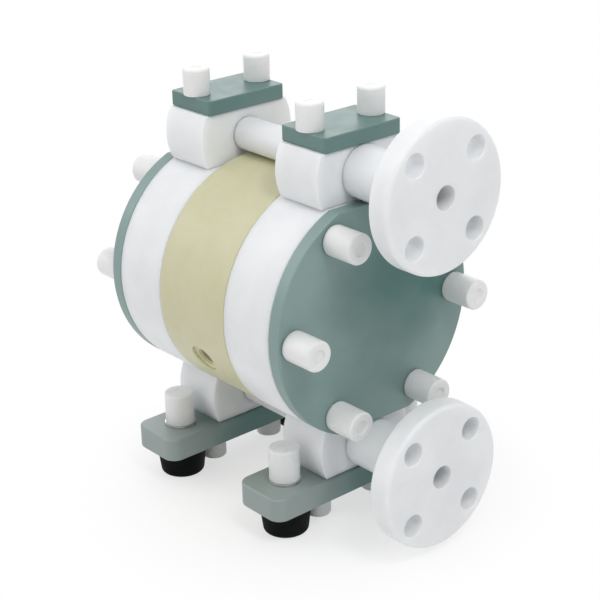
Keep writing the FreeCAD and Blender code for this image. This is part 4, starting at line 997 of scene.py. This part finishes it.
@dataclass
class Diaphragm:
    """A flexible disc in equal segments, which bend between the shaft's discs and the clamped rim.

    The wave round its middle is drawn once for the air side and once for the liquid side: half
    its width at the mouth and at its corners, its depth, and the rounding of those corners.
    """

    side: Side
    hole_radius: float = 6.0 * MM
    disc_radius: float = 34.5 * MM
    wave_middle: float = 42.0 * MM
    air_half: float = 7.0 * MM
    air_corner: float = 4.94 * MM
    air_depth: float = 4.5 * MM
    air_round: float = 4.9 * MM
    liquid_half: float = 4.7 * MM
    liquid_corner: float = 4.5 * MM
    liquid_depth: float = 1.5 * MM
    liquid_round: float = 4.45 * MM
    wave_steps: int = 8
    segment_count: int = 8
    segment_steps: int = 16

    def section(self) -> list[Corner]:
        """Give the diaphragm's section, with a wave that hangs into the air chamber.

        Returns:
            The corners of the closed outline.
        """
        word, sign, middle = self.side.word, self.side.value, self.wave_middle
        face, rim = self.side.faces(f"chamber_{word}")[0], radius_of(f"diaphragm_{word}")
        liquid, trough = face + sign * DIAPHRAGM_THICKNESS, face - sign * self.liquid_depth
        crest = face - sign * self.air_depth
        return [Corner(face, self.hole_radius), Corner(face, middle - self.air_half),
                Corner(crest, middle - self.air_corner, self.air_round, self.wave_steps),
                Corner(crest, middle + self.air_corner, self.air_round, self.wave_steps),
                Corner(face, middle + self.air_half), Corner(face, rim), Corner(liquid, rim),
                Corner(liquid, middle + self.liquid_half),
                Corner(trough, middle + self.liquid_corner, self.liquid_round, self.wave_steps),
                Corner(trough, middle - self.liquid_corner, self.liquid_round, self.wave_steps),
                Corner(liquid, middle - self.liquid_half), Corner(liquid, self.hole_radius)]

    def build(self) -> None:
        """Make the segments, each with the points from the discs' edge to the held rim passed on as its
        bend.
        """
        word, axis = self.side.word, axis_of("centre_shaft", Way.ALONG)
        share = math.tau / self.segment_count
        # The bend runs along a segment's middle, so it ends where the sides reach the clamped radius
        held = CLAMPED_RADIUS * math.cos(share / 2)
        for index in range(self.segment_count):
            bm = outline(self.section(), closed=True)
            bmesh.ops.contextual_create(bm, geom=bm.edges[:])
            bmesh.ops.rotate(bm, verts=bm.verts[:], matrix=Matrix.Rotation(index * share, 3, "X"))
            bmesh.ops.spin(bm, geom=bm.verts[:] + bm.edges[:] + bm.faces[:], cent=(0, 0, 0),
                           axis=(1, 0, 0), angle=share, steps=self.segment_steps,
                           use_merge=False, use_duplicate=False)
            toward = sum((vert.co for vert in bm.verts), Vector())
            toward.x = 0
            toward.normalize()
            bmesh.ops.translate(bm, verts=bm.verts[:], vec=axis)
            bmesh.ops.recalc_face_normals(bm, faces=bm.faces[:])
            piece(f"diaphragm_{word}_segment_{index + 1}", bm, MEMBRANE, "diaphragm_ptfe",
                  f"diaphragm_{word}", bend=(axis + toward * self.disc_radius, axis + toward * held))


def round_places(centre: Vector, radius: float, count: int, start: float = 0.0) -> list[Vector]:
    """Give places evenly round an axis along X.

    Args:
        centre: a point on the axis.
        radius: distance of the places from it.
        count: how many there are.
        start: direction of the first, in degrees from +Y towards +Z.

    Returns:
        The places.
    """
    turns = [math.radians(start + 360 * index / count) for index in range(count)]
    return [centre + Vector((0, radius * math.cos(turn), radius * math.sin(turn))) for turn in turns]


@dataclass
class CapNuts:
    """Nuts under smooth round caps, all of one node."""

    node: str
    way: Way
    base: float
    tip: float
    radius: float
    tip_round: float = 1.4 * MM
    base_round: float = 0.4 * MM
    gate_radius: float = 3.2 * MM
    gate_depth: float = 0.2 * MM

    def build(self, places: Sequence[Vector]) -> None:
        """Make the caps at their places.

        Args:
            places: points on the caps' axes, at nought along them.
        """
        floor = self.tip - math.copysign(self.gate_depth, self.tip - self.base)
        corners = [Corner(self.base, 0), Corner(self.base, self.radius, self.base_round, 3),
                   Corner(self.tip, self.radius, self.tip_round, 6),
                   Corner(self.tip, self.gate_radius + self.gate_depth / 2), Corner(floor, self.gate_radius),
                   Corner(floor, 0)]
        caps = merged(turned(corners, self.way, place, SMALL_STEPS) for place in places)
        piece(f"{self.node}_caps", caps, NUT_WHITE, "ptfe_white", self.node)


@dataclass
class Washers:
    """Flat washers of one node, standing on one or more levels."""

    node: str
    way: Way
    radius: float
    thickness: float
    hole: float
    finish: Finish
    slot: str
    edge_round: float = 0.25 * MM

    def build(self, places: Sequence[tuple[Vector, float]]) -> None:
        """Make the washers.

        Args:
            places: for each washer, a point on its axis and where it starts along it.
        """
        rings = []
        for centre, start in places:
            end = start + self.thickness
            corners = [Corner(start, self.hole), Corner(start, self.radius, self.edge_round, 2),
                       Corner(end, self.radius, self.edge_round, 2), Corner(end, self.hole)]
            rings.append(turned(corners, self.way, centre, SMALL_STEPS, closed=True))
        piece(f"{self.node}_rings", merged(rings), self.finish, self.slot, self.node)


@dataclass
class Manifold:
    """The valve blocks above or below, their link tube and the flanged pipe."""

    stage: Stage
    finish: TurnedPlastic
    block_round: float = 2.4 * MM
    port_radius: float = 7.5 * MM
    socket_radius: float = 13.0 * MM
    pipe_radius: float = 17.0 * MM
    tube_round: float = 0.6 * MM
    pipe_round: float = 0.5 * MM
    root_round: float = 3.0 * MM
    flange_thickness: float = 15.6 * MM
    rim_round: float = 2.5 * MM
    bolt_ring: float = 35.0 * MM
    bolt_radius: float = 7.5 * MM
    bolt_chamfer: float = 0.5 * MM
    bolt_flare: float = 3.0 * MM
    bolt_count: int = 4
    first_bolt: float = 45.0

    def block(self, side: Side) -> None:
        """Make a valve block with its pocket, its ways and its sockets.

        Args:
            side: the liquid chamber that it serves.
        """
        word, row = side.word, self.stage.value
        node, tube = f"{row}_block_{word}", f"{row}_link_tube"
        cage, seat = f"{row}_cage_{word}", f"{row}_seat_{word}"
        low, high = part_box(node)
        along, upright = axis_of(tube, Way.ALONG), axis_of(seat, Way.UP)
        if self.stage is Stage.DISCHARGE:
            steps = ((low.z - OVERCUT, radius_of(cage) + VALVE_CLEARANCE),)
            pocket = Bore(Way.UP, upright, steps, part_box(cage)[1].z + VALVE_CLEARANCE)
        else:
            steps = ((along.z, WAY_RADIUS), (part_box(seat)[0].z, radius_of(seat)))
            pocket = Bore(Way.UP, upright, steps, high.z + OVERCUT)
        tube_low, tube_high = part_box(tube)
        if side is Side.RIGHT:
            pipe_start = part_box(f"{row}_flange_pipe")[0].x
            steps = ((low.x - OVERCUT, radius_of(tube)), (tube_high.x, WAY_RADIUS),
                     (pipe_start, self.socket_radius))
        else:
            steps = ((upright.x, WAY_RADIUS), (tube_low.x, radius_of(tube)))
        sockets = Bore(Way.ALONG, along, steps, high.x + OVERCUT)
        shell = disc(node, self.block_round, segments=6)
        block = carved(shell, [pocket.cutter(), sockets.cutter()])
        piece(f"{row}_valve_block_{word}", block, self.finish, "ptfe_white", node)

    def link_tube(self) -> None:
        """Make the tube between the two blocks."""
        node = f"{self.stage.value}_link_tube"
        low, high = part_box(node)
        radius = radius_of(node)
        corners = [Corner(low.x, WAY_RADIUS), Corner(low.x, radius, self.tube_round, 3),
                   Corner(high.x, radius, self.tube_round, 3), Corner(high.x, WAY_RADIUS)]
        tube = turned(corners, Way.ALONG, axis_of(node, Way.ALONG), SMALL_STEPS, closed=True)
        piece(f"{self.stage.value}_tube", tube, self.finish, "ptfe_white", node)

    def flange_pipe(self) -> None:
        """Make the pipe with its flange and the flange's bolt holes."""
        node = f"{self.stage.value}_flange_pipe"
        low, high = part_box(node)
        block_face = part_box(f"{self.stage.value}_block_right")[1].x
        centre = axis_of(node, Way.ALONG)
        rim, back = radius_of(node), high.x - self.flange_thickness
        corners = [Corner(low.x, self.port_radius), Corner(low.x, self.socket_radius),
                   Corner(block_face, self.socket_radius),
                   Corner(block_face, self.pipe_radius, self.pipe_round, 2),
                   Corner(back, self.pipe_radius, self.root_round, 6),
                   Corner(back, rim, self.rim_round, 7), Corner(high.x, rim, self.rim_round, 7),
                   Corner(high.x, self.port_radius, self.pipe_round, 2)]
        body = turned(corners, Way.ALONG, centre, closed=True)
        start, end = back - self.bolt_flare, high.x + self.bolt_flare
        widest = self.bolt_radius + self.bolt_chamfer + self.bolt_flare
        hole = [Corner(start, 0), Corner(start, widest), Corner(back + self.bolt_chamfer, self.bolt_radius),
                Corner(high.x - self.bolt_chamfer, self.bolt_radius), Corner(end, widest), Corner(end, 0)]
        places = round_places(centre, self.bolt_ring, self.bolt_count, self.first_bolt)
        body = carved(body, [turned(hole, Way.ALONG, place, SMALL_STEPS) for place in places])
        piece(f"{self.stage.value}_pipe_and_flange", body, self.finish, "ptfe_white", node)

    def build(self) -> None:
        """Make both blocks, the tube and the flanged pipe."""
        for side in Side:
            self.block(side)
        self.link_tube()
        self.flange_pipe()


def plate(node: str, corner_round: float, chamfer: float, overhang: float,
          thicker: float = 0.0) -> bmesh.types.BMesh:
    """Make a flat plate over its node's box, with round corners and eased edges.

    Args:
        node: the CAD node.
        corner_round: radius of its four corners.
        chamfer: width of the easing along its edges.
        overhang: how far it stands past the box on both sides along X.
        thicker: how far it stands above the box.

    Returns:
        The plate's bmesh.
    """
    low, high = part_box(node)
    low, high = low - Vector((overhang, 0, 0)), high + Vector((overhang, 0, thicker))
    bm = bmesh.new()
    bmesh.ops.create_cube(bm, size=1.0)
    bmesh.ops.scale(bm, vec=high - low, verts=bm.verts[:])
    bmesh.ops.translate(bm, vec=(low + high) / 2, verts=bm.verts[:])
    bevel_edges(bm, lambda edge: not level_along(2)(edge), corner_round, segments=8)
    bevel_edges(bm, level_along(2), chamfer, segments=3)
    return bm


@dataclass
class Clamps:
    """The plates over the upper blocks and the nuts that hold them down."""

    corner_round: float = 2.5 * MM
    chamfer: float = 0.8 * MM
    overhang: float = 2.0 * MM
    thicker: float = 1.0 * MM
    nut_radius: float = 8.7 * MM

    def build(self) -> None:
        """Make both plates and the four nuts."""
        for side in Side:
            node = f"clamp_plate_{side.word}"
            bm = plate(node, self.corner_round, self.chamfer, self.overhang, self.thicker)
            piece(f"top_plate_{side.word}", bm, CLAMP_GREEN, "plate_green", node)
        low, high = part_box("top_cap_nuts")
        nuts = CapNuts("top_cap_nuts", Way.UP, low.z + self.thicker, high.z, self.nut_radius)
        nuts.build(corner_places(low, high, self.nut_radius))


def corner_places(low: Vector, high: Vector, radius: float) -> list[Vector]:
    """Give the four upright axes of round things that fill a box's corners.

    Args:
        low: the box's lowest corner.
        high: the box's highest corner.
        radius: radius of the round things.

    Returns:
        Points on the axes, at height nought.
    """
    return [Vector((x, y, 0)) for x in (low.x + radius, high.x - radius)
            for y in (low.y + radius, high.y - radius)]


@dataclass
class Feet:
    """The long plates under the pump with their nuts and rubber feet."""

    corner_round: float = 9.0 * MM
    chamfer: float = 1.2 * MM
    overhang: float = 2.0 * MM
    nut_radius: float = 10.0 * MM
    washer_radius: float = 10.8 * MM
    stud_radius: float = 4.0 * MM
    lower_nut_radius: float = 8.7 * MM
    lower_washer_radius: float = 8.0 * MM
    lower_stud_radius: float = 3.0 * MM
    rubber_top: float = 17.0 * MM
    rubber_base: float = 14.6 * MM
    rubber_round: float = 2.5 * MM
    rubber_top_round: float = 0.8 * MM
    rubber_steps: int = 96
    recess_radius: float = 5.5 * MM
    recess_depth: float = 3.0 * MM
    recess_draft: float = 0.5 * MM
    recess_floor_round: float = 0.4 * MM
    recess_mouth_round: float = 0.6 * MM

    def rubber_foot(self, node: str) -> None:
        """Make a tapered rubber foot with a recess in its base.

        Args:
            node: the CAD node that it replaces.
        """
        low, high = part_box(node)
        corners = [Corner(self.recess_depth, 0),
                   Corner(self.recess_depth, self.recess_radius, self.recess_floor_round, 2),
                   Corner(low.z, self.recess_radius + self.recess_draft, self.recess_mouth_round, 3),
                   Corner(low.z, self.rubber_base, self.rubber_round, 6),
                   Corner(high.z, self.rubber_top, self.rubber_top_round, 3), Corner(high.z, 0)]
        foot = turned(corners, Way.UP, axis_of(node, Way.UP), self.rubber_steps)
        piece(f"{node}_moulding", foot, FOOT_RUBBER, "foot_rubber", node)

    def build(self) -> None:
        """Make the plates, the nuts above and below with their washers, and the rubber feet."""
        for side in Side:
            node = f"foot_plate_{side.word}"
            bm = plate(node, self.corner_round, self.chamfer, self.overhang)
            piece(f"long_plate_{side.word}", bm, FOOT_GREEN, "plate_green", node)
            for end in ("front", "rear"):
                self.rubber_foot(f"rubber_foot_{end}_{side.word}")
        low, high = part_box("foot_cap_nuts")
        places = corner_places(low, high, self.nut_radius)
        CapNuts("foot_cap_nuts", Way.UP, low.z, high.z, self.nut_radius).build(places)
        low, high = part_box("foot_washers")
        washers = Washers("foot_washers", Way.UP, self.washer_radius, high.z - low.z, self.stud_radius,
                          STEEL, "steel")
        washers.build([(place, low.z) for place in places])
        low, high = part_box("lower_cap_nuts")
        places = corner_places(low, high, self.lower_nut_radius)
        CapNuts("lower_cap_nuts", Way.UP, high.z, low.z, self.lower_nut_radius).build(places)
        low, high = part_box("foot_bolt_washers")
        washers = Washers("foot_bolt_washers", Way.UP, self.lower_washer_radius, high.z - low.z,
                          self.lower_stud_radius, BOLT_STEEL, "bolt_grey")
        washers.build([(place, low.z) for place in places])


@dataclass
class EndWashers:
    """The thin washers between the end plates and their cap nuts."""

    radius: float = 9.2 * MM
    thickness: float = 1.0 * MM
    hole: float = 4.0 * MM

    def build(self) -> None:
        """Make all twelve."""
        low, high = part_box("end_washers")
        centre = axis_of("centre_shaft", Way.ALONG)
        places = round_places(centre, high.y - self.radius, END_NUT_COUNT)
        starts = (low.x, high.x - self.thickness)
        rings = Washers("end_washers", Way.ALONG, self.radius, self.thickness, self.hole, STEEL, "steel")
        rings.build([(place, start) for start in starts for place in places])


@dataclass
class InnerWorks:
    """The pieces inside the pump, which keep their CAD shapes and get real finishes."""

    nodes: dict[str, bpy.types.Object]

    def build(self) -> None:
        """Give every CAD node the finish of its material slot; a replaced one stays hidden."""
        for name, node in sorted(self.nodes.items()):
            for slot in node.material_slots:
                slot.material = SLOT_FINISHES[slot.material.name.split(".")[0]].material()
            LOG.info("%s: finish %s", name, node.material_slots[0].material.name)


# Studio


def outward(azimuth: float, elevation: float) -> Vector:
    """Give the direction to a place round the pump.

    Args:
        azimuth: degrees from the front, -Y, towards the flange faces, +X.
        elevation: degrees above the floor.

    Returns:
        A unit vector.
    """
    turn, rise = math.radians(azimuth), math.radians(elevation)
    return Vector((math.sin(turn) * math.cos(rise), -math.cos(turn) * math.cos(rise), math.sin(rise)))


@dataclass(frozen=True)
class Lamp:
    """A soft square lamp that faces the pump."""

    name: str
    azimuth: float
    elevation: float
    distance: float
    size: float
    power: float

    def hang(self, target: Vector) -> None:
        """Hang the lamp.

        Args:
            target: the point that it faces.
        """
        light = bpy.data.lights.new(self.name, "AREA")
        light.size = self.size
        light.energy = self.power
        lamp = in_scene(self.name, light)
        toward = outward(self.azimuth, self.elevation)
        lamp.location = target + toward * self.distance
        lamp.rotation_euler = toward.to_track_quat("Z", "Y").to_euler()


@dataclass
class Studio:
    """The white floor, the soft light and the camera."""

    ambient: float = 0.58
    lamps: tuple[Lamp, ...] = (
        Lamp("key", azimuth=77, elevation=54, distance=1.6, size=0.45, power=7.0),
        Lamp("window", azimuth=-42, elevation=36, distance=1.6, size=1.1, power=5.5),
        Lamp("ceiling", azimuth=20, elevation=86, distance=1.5, size=1.8, power=2.0),
        Lamp("back", azimuth=230, elevation=26, distance=1.6, size=1.3, power=4.5),
    )
    camera_place: Vector = Vector((744.0 * MM, -639.2 * MM, 546.9 * MM))
    azimuth: float = 49.535
    elevation: float = 22.853
    roll: float = -1.378
    lens: float = 98.12
    sensor: float = 36.0
    nearest: float = 50.0 * MM
    floor_colour: Colour = (0.95, 0.95, 0.95)
    floor_roughness: float = 0.9
    floor_reach: float = 6.0
    shadow_start: float = 0.08
    shadow_end: float = 0.18
    shadow_light: float = 0.6

    def camera(self) -> None:
        """Place the camera as the photograph's stands."""
        data = bpy.data.cameras.new("camera")
        data.sensor_width = self.sensor
        data.lens = self.lens
        data.clip_start = self.nearest
        made = in_scene("camera", data)
        back = outward(self.azimuth, self.elevation)
        right = Vector((math.cos(math.radians(self.azimuth)), math.sin(math.radians(self.azimuth)), 0))
        up = back.cross(right)
        tilt = math.radians(self.roll)
        across = right * math.cos(tilt) + up * math.sin(tilt)
        above = up * math.cos(tilt) - right * math.sin(tilt)
        turn = Matrix((across, above, back)).transposed().to_4x4()
        made.matrix_world = Matrix.Translation(self.camera_place) @ turn
        bpy.context.scene.camera = made

    def floor(self) -> None:
        """Lay a white floor that keeps the pump's shadow and fades to plain white."""
        bm = bmesh.new()
        bmesh.ops.create_grid(bm, x_segments=1, y_segments=1, size=self.floor_reach)
        made = as_object("floor", bm)
        nodes = Nodes("White floor")
        nodes.set(Base_Color=(*self.floor_colour, 1), Roughness=self.floor_roughness,
                  Specular_IOR_Level=0.0)
        glow = nodes.add("Emission", Strength=1.0, Color=(1, 1, 1, 1))
        away = nodes.worked_out("LENGTH", nodes.coordinates.outputs["Object"], kind="VectorMath")
        far = nodes.between(away, low=self.shadow_light, high=1.0, start=self.shadow_start,
                            end=self.shadow_end)
        mix = nodes.add("MixShader")
        parts = (nodes.worked_out("MULTIPLY", far, nodes.seen()), nodes.shader.outputs["BSDF"],
                 glow.outputs["Emission"])
        for part, socket in zip(parts, mix.inputs):
            nodes.join(part, socket)
        nodes.join(mix.outputs["Shader"], nodes.tree.nodes["Material Output"].inputs["Surface"])
        made.data.materials.append(nodes.material)
        made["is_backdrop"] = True

    def sky(self) -> None:
        """Fill the world with even light, seen as white."""
        world = bpy.data.worlds.new("studio")
        bpy.context.scene.world = world
        nodes = NodeWork(world, "Background")
        nodes.set(Color=(1, 1, 1, 1))
        strength = nodes.add("MapRange", To_Min=self.ambient, To_Max=1.0)
        nodes.join(nodes.seen(), strength.inputs["Value"])
        nodes.join(strength.outputs["Result"], nodes.shader.inputs["Strength"])

    def build(self) -> None:
        """Set up the whole studio."""
        bpy.context.scene.view_settings.view_transform = "Standard"
        self.camera()
        self.sky()
        self.floor()
        low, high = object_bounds()
        target = (Vector(low) + Vector(high)) / 2
        for lamp in self.lamps:
            lamp.hang(target)


def main() -> None:
    """Build the pump around its frame and light it."""
    logging.basicConfig(level=logging.INFO, format="%(message)s")
    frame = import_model()
    Studio().build()
    CentreBody().build()
    for side in Side:
        LiquidChamber(side).build()
        Diaphragm(side).build()
    Manifold(Stage.DISCHARGE, DISCHARGE_WHITE).build()
    Manifold(Stage.SUCTION, SUCTION_WHITE).build()
    EndWashers().build()
    Clamps().build()
    Feet().build()
    InnerWorks(frame["nodes"]).build()


if __name__ == "__main__":
    main()
